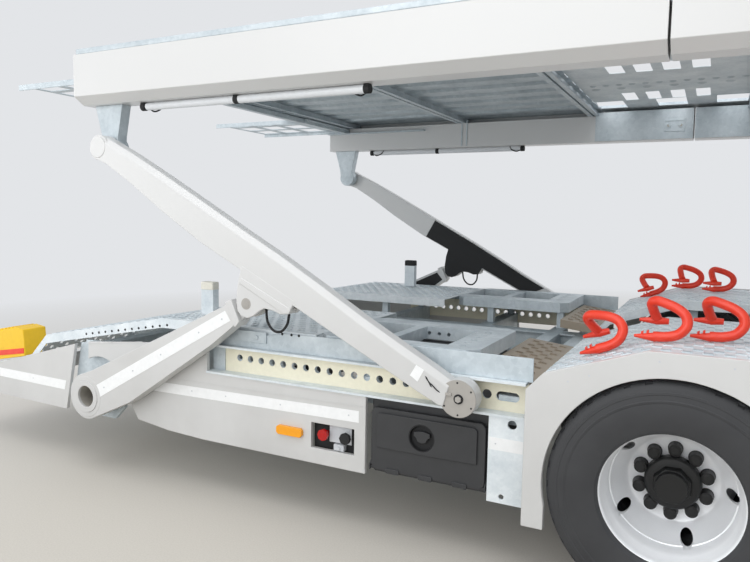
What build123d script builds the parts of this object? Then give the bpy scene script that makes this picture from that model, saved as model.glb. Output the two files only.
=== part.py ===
# Car transporter trailer: a tandem drawbar trailer that carries cars on two decks.
# Millimetres, +X towards the drawbar, +Z up, ground at Z = 0, centre of the length at X = 0.
import os
from math import atan2, cos, degrees, hypot, radians, sin

from build123d import *

os.makedirs("parts", exist_ok=True)

# Overall sizes
width = 2550
rear_overhang = 3750
eye_reach = 6050
rear_axle_x = (rear_overhang - eye_reach) / 2
half_width = width / 2

# Wheels and axles
tyre_radius = 398
tyre_width = 235
axle_height = 398
axle_spacing = 1310
twin_spacing = 284
bead_radius = 222
rim_radius = 234
rim_wall = 12
disc_wall = 12
disc_bore = 78
stud_circle = 225
stud_count = 10
stud_radius = 15
stud_length = 45
hub_flange_radius = 128
hub_length = 150
axle_tube_radius = 63.5
spindle_radius = 40
running_gap = 0.06

# Side view of the lifting linkage: X from the rear axle, Z from the ground
lift_axis = (-2671, 385)
arm_joint = (-1677, 922)
arm_slider = (-718, 640)
arm_top = (-2550, 1606)
linkage_middle = 1000
arm_layer = 80
arm_clearance = 6
ring_radius = 114
lift_tube_radius = 80
lift_tube_bore = 55
joint_pin_radius = 28
foot_radius = 71
roller_radius = 44
top_eye_radius = 60

# Upper deck
deck_rear = -2700
deck_front = 2 * linkage_middle - deck_rear
deck_top = 2045
beam_bottom = 1815
beam_width = 155
beam_wall = 6
beam_chamfer = (55, 35)
crossbeam_size = (70, 45)
deck_sheet = 3
rib_height = 18

# Lower structure
rail_y = 450
rail_bottom = 505
rail_top = 640
rail_flange = 100
rail_wall = 10
rail_rear = -2850
rail_front = 4860
outrigger_size = (80, 110)
outrigger_bottom = 530
channel_span = (-1970, -493)
channel_spans = (channel_span, (axle_spacing - channel_span[1], 2 * linkage_middle - channel_span[0]))
channel_z = (572, 708)
channel_depth = 65
channel_wall = 8
skirt_wall = 20
hump_top = 886
track_inner_y = 350
track_wall = 8
track_lip = 45
deck_z = 800
arch_radius = tyre_radius + 8
arch_wall = 25

arm_inner_y = half_width - arm_layer
side_y = arm_inner_y - arm_clearance
guide_y = side_y - 33
track_outer_y = side_y - 39
outer_plate_y = side_y - 49
outer_post_y = side_y - 129


def at(x):
    """Model X of a place given from the rear axle."""
    return rear_axle_x + x


def side_plane(y):
    """Upright plane along the trailer at Y = y, with local x along X and local y along Z."""
    return Plane.XZ.offset(-y)


def cross_plane(x):
    """Upright plane across the trailer, x from the rear axle, with local x along Y."""
    return Plane.YZ.offset(at(x))


def both_sides():
    mirror(about=Plane.XZ)


def both_ends():
    mirror(about=cross_plane(linkage_middle))


def poly(radius, sides, hole=False, turn=0):
    """Many-sided round: over its corners as a pin, over its flats as a hole."""
    if hole:
        RegularPolygon(radius, sides, major_radius=False, rotation=turn, mode=Mode.SUBTRACT)
    else:
        RegularPolygon(radius, sides, rotation=turn)


def side_face(points):
    """Closed outline in a side plane, each point given as (x from the rear axle, z)."""
    Polygon(*[(at(x), z) for x, z in points], align=None)


def save(piece, label):
    piece.part.label = label
    export_step(piece.part, "parts/" + label + ".step")


# Main frame: two I-beams with crossmembers, outriggers and the lift tubes' bearing plates
outrigger_x = (
    -1850, -1180, -570, axle_spacing + 535, 2 * linkage_middle + 570, 2 * linkage_middle + 1180,
    2 * linkage_middle + 1850,
)
rail_cross_x = (-740, axle_spacing / 2, 2 * linkage_middle + 740)
rail_cross_reach = 660
front_cross_reach = 620
tail_beam_width = 50
bearing_plate_y = (rail_y, outer_plate_y)
bearing_plate_wall = 20
bearing_radius = 135
half_web = rail_wall / 2
half_flange = rail_flange / 2
outrigger_reach = side_y - channel_depth
with BuildPart() as chassis_frame:
    with BuildSketch(cross_plane(rail_rear)):
        for y in (-rail_y, rail_y):
            with Locations((y, (rail_bottom + rail_top) / 2)):
                Rectangle(rail_flange, rail_top - rail_bottom)
        for y in (-rail_y, rail_y):
            for side in (-1, 1):
                with Locations((y + side * (half_flange + half_web) / 2, (rail_bottom + rail_top) / 2)):
                    Rectangle(half_flange - half_web, rail_top - rail_bottom - 2 * rail_wall, mode=Mode.SUBTRACT)
    extrude(amount=rail_front - rail_rear)
    with BuildSketch(Plane.XY.offset(outrigger_bottom)):
        for x in outrigger_x:
            with Locations((at(x), 0)):
                Rectangle(outrigger_size[0], 2 * outrigger_reach)
        for x in rail_cross_x:
            with Locations((at(x), 0)):
                Rectangle(outrigger_size[0], 2 * rail_cross_reach)
        with Locations((at(rail_front), 0)):
            Rectangle(outrigger_size[0], 2 * front_cross_reach)
    extrude(amount=outrigger_size[1])
    with BuildSketch(*[side_plane(y) for y in (-rail_y, rail_y)]):
        side_face([
            (rail_rear, rail_bottom), (rail_rear, rail_top), (-3070, 600), (-3240, 500),
            (-rear_overhang + 70, 385), (-rear_overhang + 70, 320),
        ])
    extrude(amount=tail_beam_width / 2, both=True)
    for end_x in (lift_axis[0], 2 * linkage_middle - lift_axis[0]):
        with BuildSketch(*[side_plane(side * y) for side in (-1, 1) for y in bearing_plate_y]):
            side_face([
                (end_x - bearing_radius, lift_axis[1] - bearing_radius / 2),
                (end_x - bearing_radius / 2, lift_axis[1] - bearing_radius),
                (end_x + bearing_radius / 2, lift_axis[1] - bearing_radius),
                (end_x + bearing_radius, lift_axis[1] - bearing_radius / 2),
                (end_x + bearing_radius, rail_top), (end_x - bearing_radius, rail_top),
            ])
            with Locations((at(end_x), lift_axis[1])):
                poly(lift_tube_radius + running_gap, 24, hole=True)
        extrude(amount=bearing_plate_wall / 2, both=True)
        end_side = 1 if end_x < linkage_middle else -1
        with BuildSketch(*[side_plane(side * outer_plate_y) for side in (-1, 1)]):
            side_face([
                (end_x - end_side * 248, 266), (end_x - end_side * 173, 620), (end_x - end_side * 77, 640),
                (end_x - end_side * bearing_radius, lift_axis[1]), (end_x - end_side * 200, 310),
            ])
        extrude(amount=bearing_plate_wall / 2, both=True)
        with BuildSketch(Plane.XY.offset(outrigger_bottom)):
            with Locations((at(end_x), 0)):
                Rectangle(outrigger_size[0], 2 * bearing_plate_y[1])
        extrude(amount=outrigger_size[1])
save(chassis_frame, "chassis_frame")

# Drawbar: two box beams that run together and down from the front crossmember to the towing eye
drawbar_rear = rail_front + outrigger_size[0] / 2
drawbar_nose = eye_reach - 410
drawbar_beam = 100
nose_width = 160
nose_z = (380, 500)
eye_height = sum(nose_z) / 2
with BuildPart() as drawbar:
    with BuildSketch(Plane.XY.offset(nose_z[0])):
        for side in (-1, 1):
            Polygon(
                (at(drawbar_rear), side * (rail_y + drawbar_beam / 2)),
                (at(drawbar_rear), side * (rail_y - drawbar_beam / 2)),
                (at(drawbar_nose - nose_width), 0),
                (at(drawbar_nose), 0),
                (at(drawbar_nose), side * nose_width / 2),
                align=None,
            )
    extrude(amount=rail_top - nose_z[0])
    with BuildSketch(side_plane(0)):
        side_face([
            (drawbar_rear, outrigger_bottom), (drawbar_rear, rail_top),
            (drawbar_nose, nose_z[1]), (drawbar_nose, nose_z[0]),
        ])
    extrude(amount=rail_y + drawbar_beam, both=True, mode=Mode.INTERSECT)
save(drawbar, "drawbar")

eye_radius = 25
eye_outer = 60
eye_length = 45
shank_radius = eye_length / 2
eye_plate = 16
with BuildPart() as towing_eye:
    with BuildSketch(cross_plane(drawbar_nose)):
        with Locations((0, eye_height)):
            Rectangle(nose_width, nose_z[1] - nose_z[0])
    extrude(amount=eye_plate)
    with BuildSketch(cross_plane(drawbar_nose + eye_plate)):
        with Locations((0, eye_height)):
            RegularPolygon(shank_radius, 8)
    extrude(amount=eye_reach - drawbar_nose - eye_plate - eye_outer)
    with BuildSketch(Plane.XY.offset(eye_height - shank_radius)):
        with Locations((at(eye_reach) - eye_outer, 0)):
            poly(eye_outer, 24)
    extrude(amount=2 * shank_radius)
    with BuildSketch(Plane.XY.offset(eye_height - shank_radius)):
        with Locations((at(eye_reach) - eye_outer, 0)):
            Circle(eye_radius)
    extrude(amount=2 * shank_radius, mode=Mode.SUBTRACT)
save(towing_eye, "towing_eye")

# Landing leg on the front crossmember: square tube, inner tube and foot plate
leg_size = 90
leg_y = -front_cross_reach + leg_size / 2
leg_x = drawbar_rear + leg_size / 2
leg_foot = 220
leg_foot_wall = 16
leg_top = 760
leg_split = 260
with BuildPart() as landing_leg:
    with BuildSketch(Plane.XY):
        with Locations((at(leg_x), leg_y)):
            Rectangle(leg_foot, leg_foot)
    extrude(amount=leg_foot_wall)
    with BuildSketch(Plane.XY.offset(leg_foot_wall)):
        with Locations((at(leg_x), leg_y)):
            Rectangle(leg_size - 20, leg_size - 20)
    extrude(amount=leg_split - leg_foot_wall)
    with BuildSketch(Plane.XY.offset(leg_split)):
        with Locations((at(leg_x), leg_y)):
            Rectangle(leg_size, leg_size)
    extrude(amount=leg_top - leg_split)
save(landing_leg, "landing_leg")

# Axles: a tube between the twin wheels, with a thinner spindle in each hub
disc_face_y = half_width - tyre_width / 2 - twin_spacing / 2
spindle_tip = disc_face_y + 60
hub_inner_y = disc_face_y - hub_length
with BuildPart() as axle_beams:
    for x in (0, axle_spacing):
        with BuildSketch(side_plane(0)):
            with Locations((at(x), axle_height)):
                poly(axle_tube_radius, 16, turn=180 / 16)
        extrude(amount=hub_inner_y - arm_clearance, both=True)
        with BuildSketch(side_plane(0)):
            with Locations((at(x), axle_height)):
                Circle(spindle_radius)
        extrude(amount=spindle_tip, both=True)
save(axle_beams, "axle_beams")

# Trailing arms with their hanger brackets, and the air bags behind each axle
arm_reach = 430
bag_reach = 400
bag_seat = 290
bag_radius = 105
bag_seat_half = 92
suspension_width = 80
with BuildPart() as trailing_arms:
    for x in (0, axle_spacing):
        with BuildSketch(side_plane(-rail_y)):
            side_face([
                (x + arm_reach + 45, rail_bottom), (x + arm_reach - 75, rail_bottom),
                (x + arm_reach - 45, axle_height - 40), (x + axle_tube_radius + 30, axle_height - axle_tube_radius - 8),
                (x - axle_tube_radius - 30, axle_height - axle_tube_radius - 8), (x - bag_reach + bag_seat_half, bag_seat),
                (x - bag_reach - bag_seat_half, bag_seat), (x - bag_reach - bag_seat_half, bag_seat - 25),
                (x - bag_reach + bag_seat_half, bag_seat - 30), (x - 80, axle_height - axle_tube_radius - 60),
                (x + 80, axle_height - axle_tube_radius - 60), (x + arm_reach + 45, axle_height - 75),
            ])
            side_face([
                (x - 75, axle_height - axle_tube_radius - 20), (x + 75, axle_height - axle_tube_radius - 20),
                (x + 75, axle_height), (x - 75, axle_height),
            ])
            with Locations((at(x), axle_height)):
                RegularPolygon(axle_tube_radius + running_gap, 16, rotation=180 / 16, mode=Mode.SUBTRACT)
        extrude(amount=suspension_width / 2, both=True)
    both_sides()
save(trailing_arms, "trailing_arms")

bag_waist = 0.82
with BuildPart() as air_bags:
    bag_height = rail_bottom - bag_seat
    for x in (0, axle_spacing):
        for side in (-1, 1):
            with BuildSketch(Plane.XY.offset(bag_seat)):
                with Locations((at(x - bag_reach), side * rail_y)):
                    poly(bag_radius * bag_waist, 16)
            with BuildSketch(Plane.XY.offset(bag_seat + bag_height / 3)):
                with Locations((at(x - bag_reach), side * rail_y)):
                    poly(bag_radius, 16)
            loft(ruled=True)
            with BuildSketch(Plane.XY.offset(bag_seat + bag_height / 3)):
                with Locations((at(x - bag_reach), side * rail_y)):
                    poly(bag_radius, 16)
            extrude(amount=2 * bag_height / 3)
save(air_bags, "air_bags")

# Air tank across the frame, hung in front of the rear lift tube
tank_x = -2050
tank_z = 400
tank_radius = 104
tank_half_length = 380
tank_shoulder = 45
with BuildPart() as air_tank:
    for side in (-1, 1):
        with BuildSketch(side_plane(0)):
            with Locations((at(tank_x), tank_z)):
                poly(tank_radius, 20)
        extrude(amount=side * (tank_half_length - tank_shoulder))
        with BuildSketch(side_plane(-side * (tank_half_length - tank_shoulder))):
            with Locations((at(tank_x), tank_z)):
                poly(tank_radius, 20)
        with BuildSketch(side_plane(-side * tank_half_length)):
            with Locations((at(tank_x), tank_z)):
                poly(tank_radius * 0.6, 20)
        loft(ruled=True)
    with BuildSketch(*[side_plane(y) for y in (-rail_y / 2, rail_y / 2)]):
        with Locations((at(tank_x), (tank_z + outrigger_bottom) / 2)):
            Rectangle(30, outrigger_bottom - tank_z)
    extrude(amount=15, both=True)
    with BuildSketch(Plane.XY.offset(rail_bottom - 10)):
        with Locations((at(tank_x), 0)):
            Rectangle(60, 2 * (rail_y + half_flange))
    extrude(amount=10)
save(air_tank, "air_tank")

# Side channels: the arms' foot rollers run in them, open outwards
with BuildPart() as side_channels:
    channel_height = channel_z[1] - channel_z[0]
    channel_center = (channel_z[0] + channel_z[1]) / 2
    for start, end in channel_spans:
        with BuildSketch(cross_plane(start)):
            with Locations((-side_y + channel_depth / 2, channel_center)):
                Rectangle(channel_depth, channel_height)
            with Locations((-side_y + (channel_depth - channel_wall) / 2, channel_center)):
                Rectangle(channel_depth - channel_wall, channel_height - 2 * channel_wall, mode=Mode.SUBTRACT)
        extrude(amount=end - start)
    both_sides()
save(side_channels, "side_channels")

# Side skirts below the channels, with the valve opening on the kerb side at the rear
valve_opening = (-1402, -1193, 317, 427)
skirt_outline = (
    (-2756, 470), (-2748, 640), (-1970, channel_z[1]), (-1970, channel_z[0]), (-1142, channel_z[0]),
    (-1142, 249), (-2000, 251), (-2217, 261), (-2408, 285), (-2458, 365),
)
skirt_cutout = 185
with BuildPart() as side_skirts:
    with BuildSketch(side_plane(-side_y + 5)):
        side_face(skirt_outline)
        with Locations((at(lift_axis[0]), lift_axis[1])):
            Circle(skirt_cutout, mode=Mode.SUBTRACT)
    extrude(amount=-skirt_wall)
    both_ends()
    both_sides()
    with BuildSketch(side_plane(-side_y)):
        with Locations((at((valve_opening[0] + valve_opening[1]) / 2), (valve_opening[2] + valve_opening[3]) / 2)):
            Rectangle(valve_opening[1] - valve_opening[0], valve_opening[3] - valve_opening[2])
    extrude(amount=-2 * skirt_wall, mode=Mode.SUBTRACT)
save(side_skirts, "side_skirts")

# Valve panel behind the opening: back plate, port blocks and two push knobs
knob_x = (-1338, -1232)
knob_z = 384
with BuildPart() as valve_panel:
    with BuildSketch(side_plane(-side_y + 5 + skirt_wall)):
        with Locations((at(sum(knob_x) / 2), knob_z)):
            Rectangle(250, 150)
    extrude(amount=-45)
    for x in knob_x:
        with BuildSketch(side_plane(-side_y + 5 + skirt_wall)):
            with Locations((at(x), knob_z)):
                poly(14, 8)
        extrude(amount=20)
        with BuildSketch(side_plane(-side_y + 5)):
            with Locations((at(x), knob_z)):
                RegularPolygon(26, 8)
        extrude(amount=16)
save(valve_panel, "valve_panel")

# Amber side markers on the skirts
marker_place = (-1506, 374)
marker_size = (129, 38, 18)
with BuildPart() as side_markers:
    with BuildSketch(side_plane(-side_y + 5)) as marker_face:
        with Locations((at(marker_place[0]), marker_place[1])):
            Rectangle(marker_size[0], marker_size[1])
        chamfer(marker_face.vertices(), length=8)
    extrude(amount=marker_size[2])
    both_ends()
    both_sides()
save(side_markers, "side_markers")

# Toolbox on the kerb side: hollow moulded box with a front lid hinged along its bottom edge
box_span = (-1123, -632)
box_z = (262, channel_z[0])
lid_z = (278, 535)
box_depth = 420
box_wall = 12
lid_wall = 30
lid_gap = 5
ear_wall = 5
lid_pin_radius = 5
lid_pin_length = 32
lid_axis_drop = 6
box_front_y = -side_y + lid_wall
box_mid = (box_span[0] + box_span[1]) / 2
lid_axis_y = -side_y + lid_wall / 2
lid_axis_z = lid_z[0] + lid_axis_drop
with BuildPart() as toolbox:
    with BuildSketch(side_plane(box_front_y + lid_gap)) as box_face:
        with Locations((at(box_mid), sum(box_z) / 2)):
            Rectangle(box_span[1] - box_span[0], box_z[1] - box_z[0])
        chamfer(box_face.vertices(), length=14)
    extrude(amount=-box_depth)
    with BuildSketch(side_plane(box_front_y + lid_gap)):
        with Locations((at(box_mid), sum(lid_z) / 2)):
            Rectangle(box_span[1] - box_span[0] - 4 * box_wall, lid_z[1] - lid_z[0] - 2 * box_wall)
    extrude(amount=-box_depth + box_wall, mode=Mode.SUBTRACT)
    with BuildSketch(cross_plane(box_span[0]), cross_plane(box_span[1] - ear_wall)):
        Polygon(
            (box_front_y + lid_gap + box_wall, lid_axis_z + 40), (box_front_y + lid_gap, lid_axis_z + 40),
            (lid_axis_y - 10, lid_axis_z + 10), (lid_axis_y - 10, lid_axis_z - 10),
            (box_front_y + lid_gap + box_wall, lid_axis_z + 8), align=None,
        )
        with Locations((lid_axis_y, lid_axis_z)):
            poly(lid_pin_radius + running_gap, 12, hole=True)
    extrude(amount=ear_wall)
save(toolbox, "toolbox")

lid_margin = 6
lid_rim = 8
lid_step = 25
handle_radius = 42
with BuildPart() as toolbox_lid:
    with BuildSketch(side_plane(box_front_y)) as lid_face:
        with Locations((at(box_mid), sum(lid_z) / 2)):
            Rectangle(box_span[1] - box_span[0] - 2 * lid_margin, lid_z[1] - lid_z[0])
        chamfer(lid_face.vertices(), length=14)
    extrude(amount=lid_wall - lid_rim)
    with BuildSketch(side_plane(box_front_y - lid_wall + lid_rim)) as panel_face:
        with Locations((at(box_mid), sum(lid_z) / 2)):
            Rectangle(box_span[1] - box_span[0] - 2 * lid_margin - 2 * lid_step, lid_z[1] - lid_z[0] - 2 * lid_step)
        chamfer(panel_face.vertices(), length=10)
    extrude(amount=lid_rim)
    with BuildSketch(side_plane(box_front_y - lid_wall)):
        with Locations((at(box_mid), sum(lid_z) / 2)):
            RegularPolygon(handle_radius, 16)
    extrude(amount=-12, mode=Mode.SUBTRACT)
    with BuildSketch(cross_plane(box_span[0]), cross_plane(box_span[1] - lid_pin_length)):
        with Locations((lid_axis_y, lid_axis_z)):
            Circle(lid_pin_radius)
    extrude(amount=lid_pin_length)
save(toolbox_lid, "toolbox_lid")

# Arch side plates: they follow both wheels, end in a leg and carry the hump's edge
arch_leg = (-472, -396)
arch_leg_bottom = 222
hump_rise = ((arch_leg[0], 711), (-414, 775), (-83, hump_top))
arch_bridge_z = 600
with BuildPart() as wheel_arches:
    with BuildSketch(side_plane(-half_width + arch_wall)):
        side_face([
            (arch_leg[0], arch_leg_bottom), *hump_rise,
            *[(axle_spacing - x, z) for x, z in reversed(hump_rise)],
            (axle_spacing - arch_leg[0], arch_leg_bottom),
        ])
        for x in (0, axle_spacing):
            with Locations((at(x), axle_height)):
                Circle(arch_radius, mode=Mode.SUBTRACT)
        with Locations((at(axle_spacing / 2), arch_leg_bottom)):
            Rectangle(axle_spacing - 2 * arch_leg[1], 2 * (axle_height - arch_leg_bottom), mode=Mode.SUBTRACT)
        with Locations((at(axle_spacing / 2), arch_leg_bottom)):
            Rectangle(axle_spacing, 2 * (arch_bridge_z - arch_leg_bottom), mode=Mode.SUBTRACT)
    extrude(amount=arch_wall)
    both_sides()
save(wheel_arches, "wheel_arches")

# Tracks for the cars' wheels: plates folded down at both edges. The humps pass over the wheels
hump_outer_y = half_width - arch_wall
hump_path = (*hump_rise, *[(axle_spacing - x, z) for x, z in reversed(hump_rise)])
ramp_path = ((-688, 736), (arch_leg[0], hump_rise[0][1]))
front_ramp_path = tuple((axle_spacing - x, z) for x, z in reversed(ramp_path))
rear_track_path = ((-1400, deck_z), (-2277, deck_z), (-3118, 640), (-3240, 520), (-rear_overhang + 78, 407))
front_track_path = ((2 * linkage_middle + 1400, deck_z), (2 * linkage_middle + 2700, deck_z))
link_track_path = (
    (axle_spacing - ramp_path[0][0] + 1, ramp_path[0][1]), (axle_spacing - ramp_path[0][0] + 80, deck_z),
    (2 * linkage_middle + 515, deck_z),
)


def plate_outline(path, depth):
    return [*path, *[(x, z - depth) for x, z in reversed(path)]]


def folded_tracks(paths):
    """Plates along side paths, each from the inner track line to its own outer Y, on both sides."""
    with BuildPart() as tracks:
        for path, outer_y in paths:
            with BuildSketch(side_plane(-outer_y)):
                side_face(plate_outline(path, track_wall))
            extrude(amount=track_inner_y - outer_y)
            with BuildSketch(side_plane(-track_inner_y - track_wall), side_plane(-outer_y)):
                side_face(plate_outline(path, track_lip))
            extrude(amount=-track_wall)
        mirror(about=Plane.XZ)
    return tracks


between_channels_y = side_y - channel_depth - 1
hump_parts = ((hump_path, hump_outer_y), (ramp_path, between_channels_y), (front_ramp_path, between_channels_y))
save(folded_tracks(hump_parts), "hump_tracks")
save(folded_tracks([(rear_track_path, track_outer_y)]), "rear_tracks")
save(folded_tracks([(front_track_path, track_outer_y), (link_track_path, between_channels_y)]), "front_tracks")

# Arch end plates with their tape, between the channels and the arch legs
arch_end_x = (-627, channel_span[1])
arch_end_bottom = 245
with BuildPart() as arch_end_plates:
    with BuildSketch(side_plane(-side_y + 5)):
        side_face([
            (arch_end_x[0], arch_end_bottom), (arch_end_x[1], arch_end_bottom),
            (arch_end_x[1], channel_z[0]), (arch_end_x[0], channel_z[0]),
        ])
    extrude(amount=-12)
    both_sides()
    mirror(about=cross_plane(axle_spacing / 2))
save(arch_end_plates, "arch_end_plates")

# Well frames between the hump and the end tracks
frame_span = (-1395, -690)
frame_wall = 60
frame_inner_y = 560
frame_bays = ((-1240, 250), (-925, 250))
frame_bay_y = (track_outer_y - 290, track_outer_y - 80)
frame_corner = 45
with BuildPart() as well_frames:
    with BuildSketch(Plane.XY.offset(deck_z - frame_wall)) as frame_plan:
        with Locations((at(sum(frame_span) / 2), -(frame_inner_y + track_outer_y) / 2)):
            Rectangle(frame_span[1] - frame_span[0], track_outer_y - frame_inner_y)
        chamfer(frame_plan.vertices(), length=frame_corner)
        for x, length in frame_bays:
            with Locations((at(x), -sum(frame_bay_y) / 2)):
                Rectangle(length, frame_bay_y[1] - frame_bay_y[0], mode=Mode.SUBTRACT)
    extrude(amount=frame_wall)
    both_sides()
    both_ends()
save(well_frames, "well_frames")

# Deck stools: square posts on the rails and outriggers that carry the tracks, frames and humps
stool_size = 40
under_track = deck_z - track_wall
under_frame = deck_z - frame_wall
under_hump = hump_top - track_wall
front_of = 2 * linkage_middle
inner_post_y = frame_inner_y + 60
frame_post_y = side_y - channel_depth - 27
stools = (
    # x, y, top
    (-2180, rail_y, under_track), (-1850, rail_y, under_track), (-1850, outer_post_y, under_track),
    (-1180, inner_post_y, under_frame), (-1180, frame_post_y, under_frame), (-740, inner_post_y, under_frame),
    (0, rail_y, under_hump), (axle_spacing / 2, rail_y, under_hump), (axle_spacing, rail_y, under_hump),
    (axle_spacing + 800, rail_y, under_track), (front_of + 740, inner_post_y, under_frame),
    (front_of + 1180, inner_post_y, under_frame), (front_of + 1180, frame_post_y, under_frame),
    (front_of + 1850, rail_y, under_track), (front_of + 1850, outer_post_y, under_track),
    (front_of + 2500, rail_y, under_track),
)
with BuildPart() as deck_stools:
    for x, y, top in stools:
        with BuildSketch(Plane.XY.offset(rail_top)):
            with Locations((at(x), -y)):
                Rectangle(stool_size, stool_size)
        extrude(amount=top - rail_top)
    both_sides()
save(deck_stools, "deck_stools")

# Guide beams beside the frames, that keep the wheels on the tracks
guide_span = (channel_span[0] + 60, arch_leg[0] - 2)
guide_top = 798
guide_outline = (
    (guide_span[0], channel_z[1]), (guide_span[0], 770), (-1660, 770), (-1640, 790), (-1462, 855), (-1104, 865),
    (-960, guide_top), (guide_span[1], guide_top), (guide_span[1], channel_z[1]),
)
guide_wall = 8
with BuildPart() as guide_beams:
    with BuildSketch(side_plane(-guide_y)):
        side_face(guide_outline)
    extrude(amount=guide_wall / 2, both=True)
    both_sides()
    both_ends()
save(guide_beams, "guide_beams")

# Wheel hooks on the humps: bent round-nosed hooks on a foot plate
hump_slope = degrees(atan2(hump_rise[2][1] - hump_rise[1][1], hump_rise[2][0] - hump_rise[1][0]))
hook_y = side_y - 159
inner_hook_y = side_y - 289
hooks = (
    # x, y, height of the foot, tilt along the hump
    ((hump_rise[1][0] + hump_rise[2][0]) / 2, hook_y, (hump_rise[1][1] + hump_rise[2][1]) / 2, hump_slope),
    (-10, hook_y, hump_top, 0), (150, inner_hook_y, hump_top, 0),
    (axle_spacing / 2, (hook_y + inner_hook_y) / 2, hump_top, 0),
    (axle_spacing - 150, inner_hook_y, hump_top, 0), (axle_spacing + 10, hook_y, hump_top, 0),
)
hook_bar = 14
hook_path = (
    # along, across towards the middle, up
    (-125, -35, 14), (50, -35, 20), (95, -25, 60), (60, -5, 116), (-50, 30, 145), (-55, 43, 110), (-55, 43, 0),
)
with BuildPart() as wheel_hooks:
    for x, y, foot_z, tilt in hooks:
        lean = radians(tilt)
        bar_path = [
            (
                at(x) + hx * cos(lean) - hz * sin(lean),
                -y + hy,
                foot_z + hx * sin(lean) + hz * cos(lean),
            )
            for hx, hy, hz in hook_path
        ]
        with BuildLine() as bar_line:
            Polyline(*bar_path)
        with BuildSketch(Plane(origin=bar_path[0], z_dir=bar_line.line % 0)):
            RegularPolygon(hook_bar, 6)
        sweep(path=bar_line.line, transition=Transition.RIGHT)
    both_sides()
save(wheel_hooks, "wheel_hooks")

# Rear side panels, the rear beam and its lamps
rear_end_z = (280, 375)
wedge_outline = ((-2919, 266), (-2844, 620), (-rear_overhang, rear_end_z[1]), (-rear_overhang, rear_end_z[0]))
with BuildPart() as rear_side_panels:
    with BuildSketch(side_plane(-side_y)):
        side_face(wedge_outline)
    extrude(amount=-skirt_wall)
    both_sides()
save(rear_side_panels, "rear_side_panels")

rear_beam_span = (-3730, -3680)
with BuildPart() as rear_beam:
    with BuildSketch(cross_plane(rear_beam_span[0])):
        with Locations((0, sum(rear_end_z) / 2)):
            Rectangle(2 * (side_y - skirt_wall), rear_end_z[1] - rear_end_z[0])
    extrude(amount=rear_beam_span[1] - rear_beam_span[0])
save(rear_beam, "rear_beam")

lamp_size = (380, 90, 18)
lamp_y = side_y - 289
with BuildPart() as tail_lamps:
    with BuildSketch(cross_plane(rear_beam_span[0])):
        with Locations((-lamp_y, sum(rear_end_z) / 2), (lamp_y, sum(rear_end_z) / 2)):
            Rectangle(lamp_size[0], lamp_size[1])
    extrude(amount=-lamp_size[2])
save(tail_lamps, "tail_lamps")

# Stakes in the rear tracks: flat square tubes
stake_y = side_y - 239
stake_size = (80, 50)
stakes = (
    # x, y, top
    (-2150, -stake_y, 965), (-1900, stake_y, 990),
)
with BuildPart() as deck_stakes:
    for x, y, top in stakes:
        with BuildSketch(Plane.XY.offset(deck_z)):
            with Locations((at(x), y)):
                Rectangle(stake_size[0], stake_size[1])
        extrude(amount=top - deck_z)
save(deck_stakes, "deck_stakes")

# Wheel chock on the rear slope
chock_y = side_y - 139
chock_x = (-3620, -3340)
chock_top = (607, 650, 640)
chock_width = 150
slope = (rear_track_path[3][1] - rear_track_path[4][1]) / (rear_track_path[3][0] - rear_track_path[4][0])
with BuildPart() as wheel_chock:
    chock_low, chock_high = [rear_track_path[4][1] + slope * (x - rear_track_path[4][0]) for x in chock_x]
    with BuildSketch(side_plane(-chock_y)):
        side_face([
            (chock_x[0], chock_low), (chock_x[1], chock_high), (chock_x[1], chock_top[2]),
            (chock_x[1] - 150, chock_top[1]), (chock_x[0], chock_top[0]),
        ])
    extrude(amount=chock_width / 2, both=True)
save(wheel_chock, "wheel_chock")

# Lift linkage: a cross tube with a fork-ended short arm at each end, and a long arm on each fork
arm_outline = (
    (-2528, 1661), (-2440, 1626), (-1921, 1399), (-1403, 1132), (-1228, 1027), (-821, 764), (-745, 713),
    (-794, 608), (-888, 652), (-1402, 910), (-1924, 1159), (-2498, 1522), (-2580, 1555),
)
lug_outline = (
    (-1700, 1085), (-1720, 1018), (-1738, 940), (-1640, 872), (-1610, 895), (-1584, 909), (-1502, 890),
    (-1464, 893), (-1430, 950),
)
short_arm_outline = (
    (-2724, 485), (-2619, 524), (-1757, 922), (-1718, 842), (-1872, 724), (-2371, 396), (-2614, 286),
)
lug_radius = 62
lug_wall = 20
lug_gap = 2
roller_width = 46
eye_start = (-1760, 866)
eye_half = 36
eye_radius_outer = 50
pin_sides = 16
round_sides = 24


def side_disc(place, radius, mode=Mode.ADD):
    """Disc at a place of the side view."""
    with Locations((at(place[0]), place[1])):
        Circle(radius, mode=mode)


def side_poly(place, radius, sides, hole=False, turn=0):
    """Many-sided round at a place of the side view."""
    with Locations((at(place[0]), place[1])):
        poly(radius, sides, hole, turn)


def tapered_bar(start, end, start_half, end_half):
    """Side outline of a bar between two places, with its half height at each."""
    dx, dz = end[0] - start[0], end[1] - start[1]
    length = hypot(dx, dz)
    nx, nz = -dz / length, dx / length
    side_face([
        (start[0] + nx * start_half, start[1] + nz * start_half),
        (end[0] + nx * end_half, end[1] + nz * end_half),
        (end[0] - nx * end_half, end[1] - nz * end_half),
        (start[0] - nx * start_half, start[1] - nz * start_half),
    ])


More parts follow.
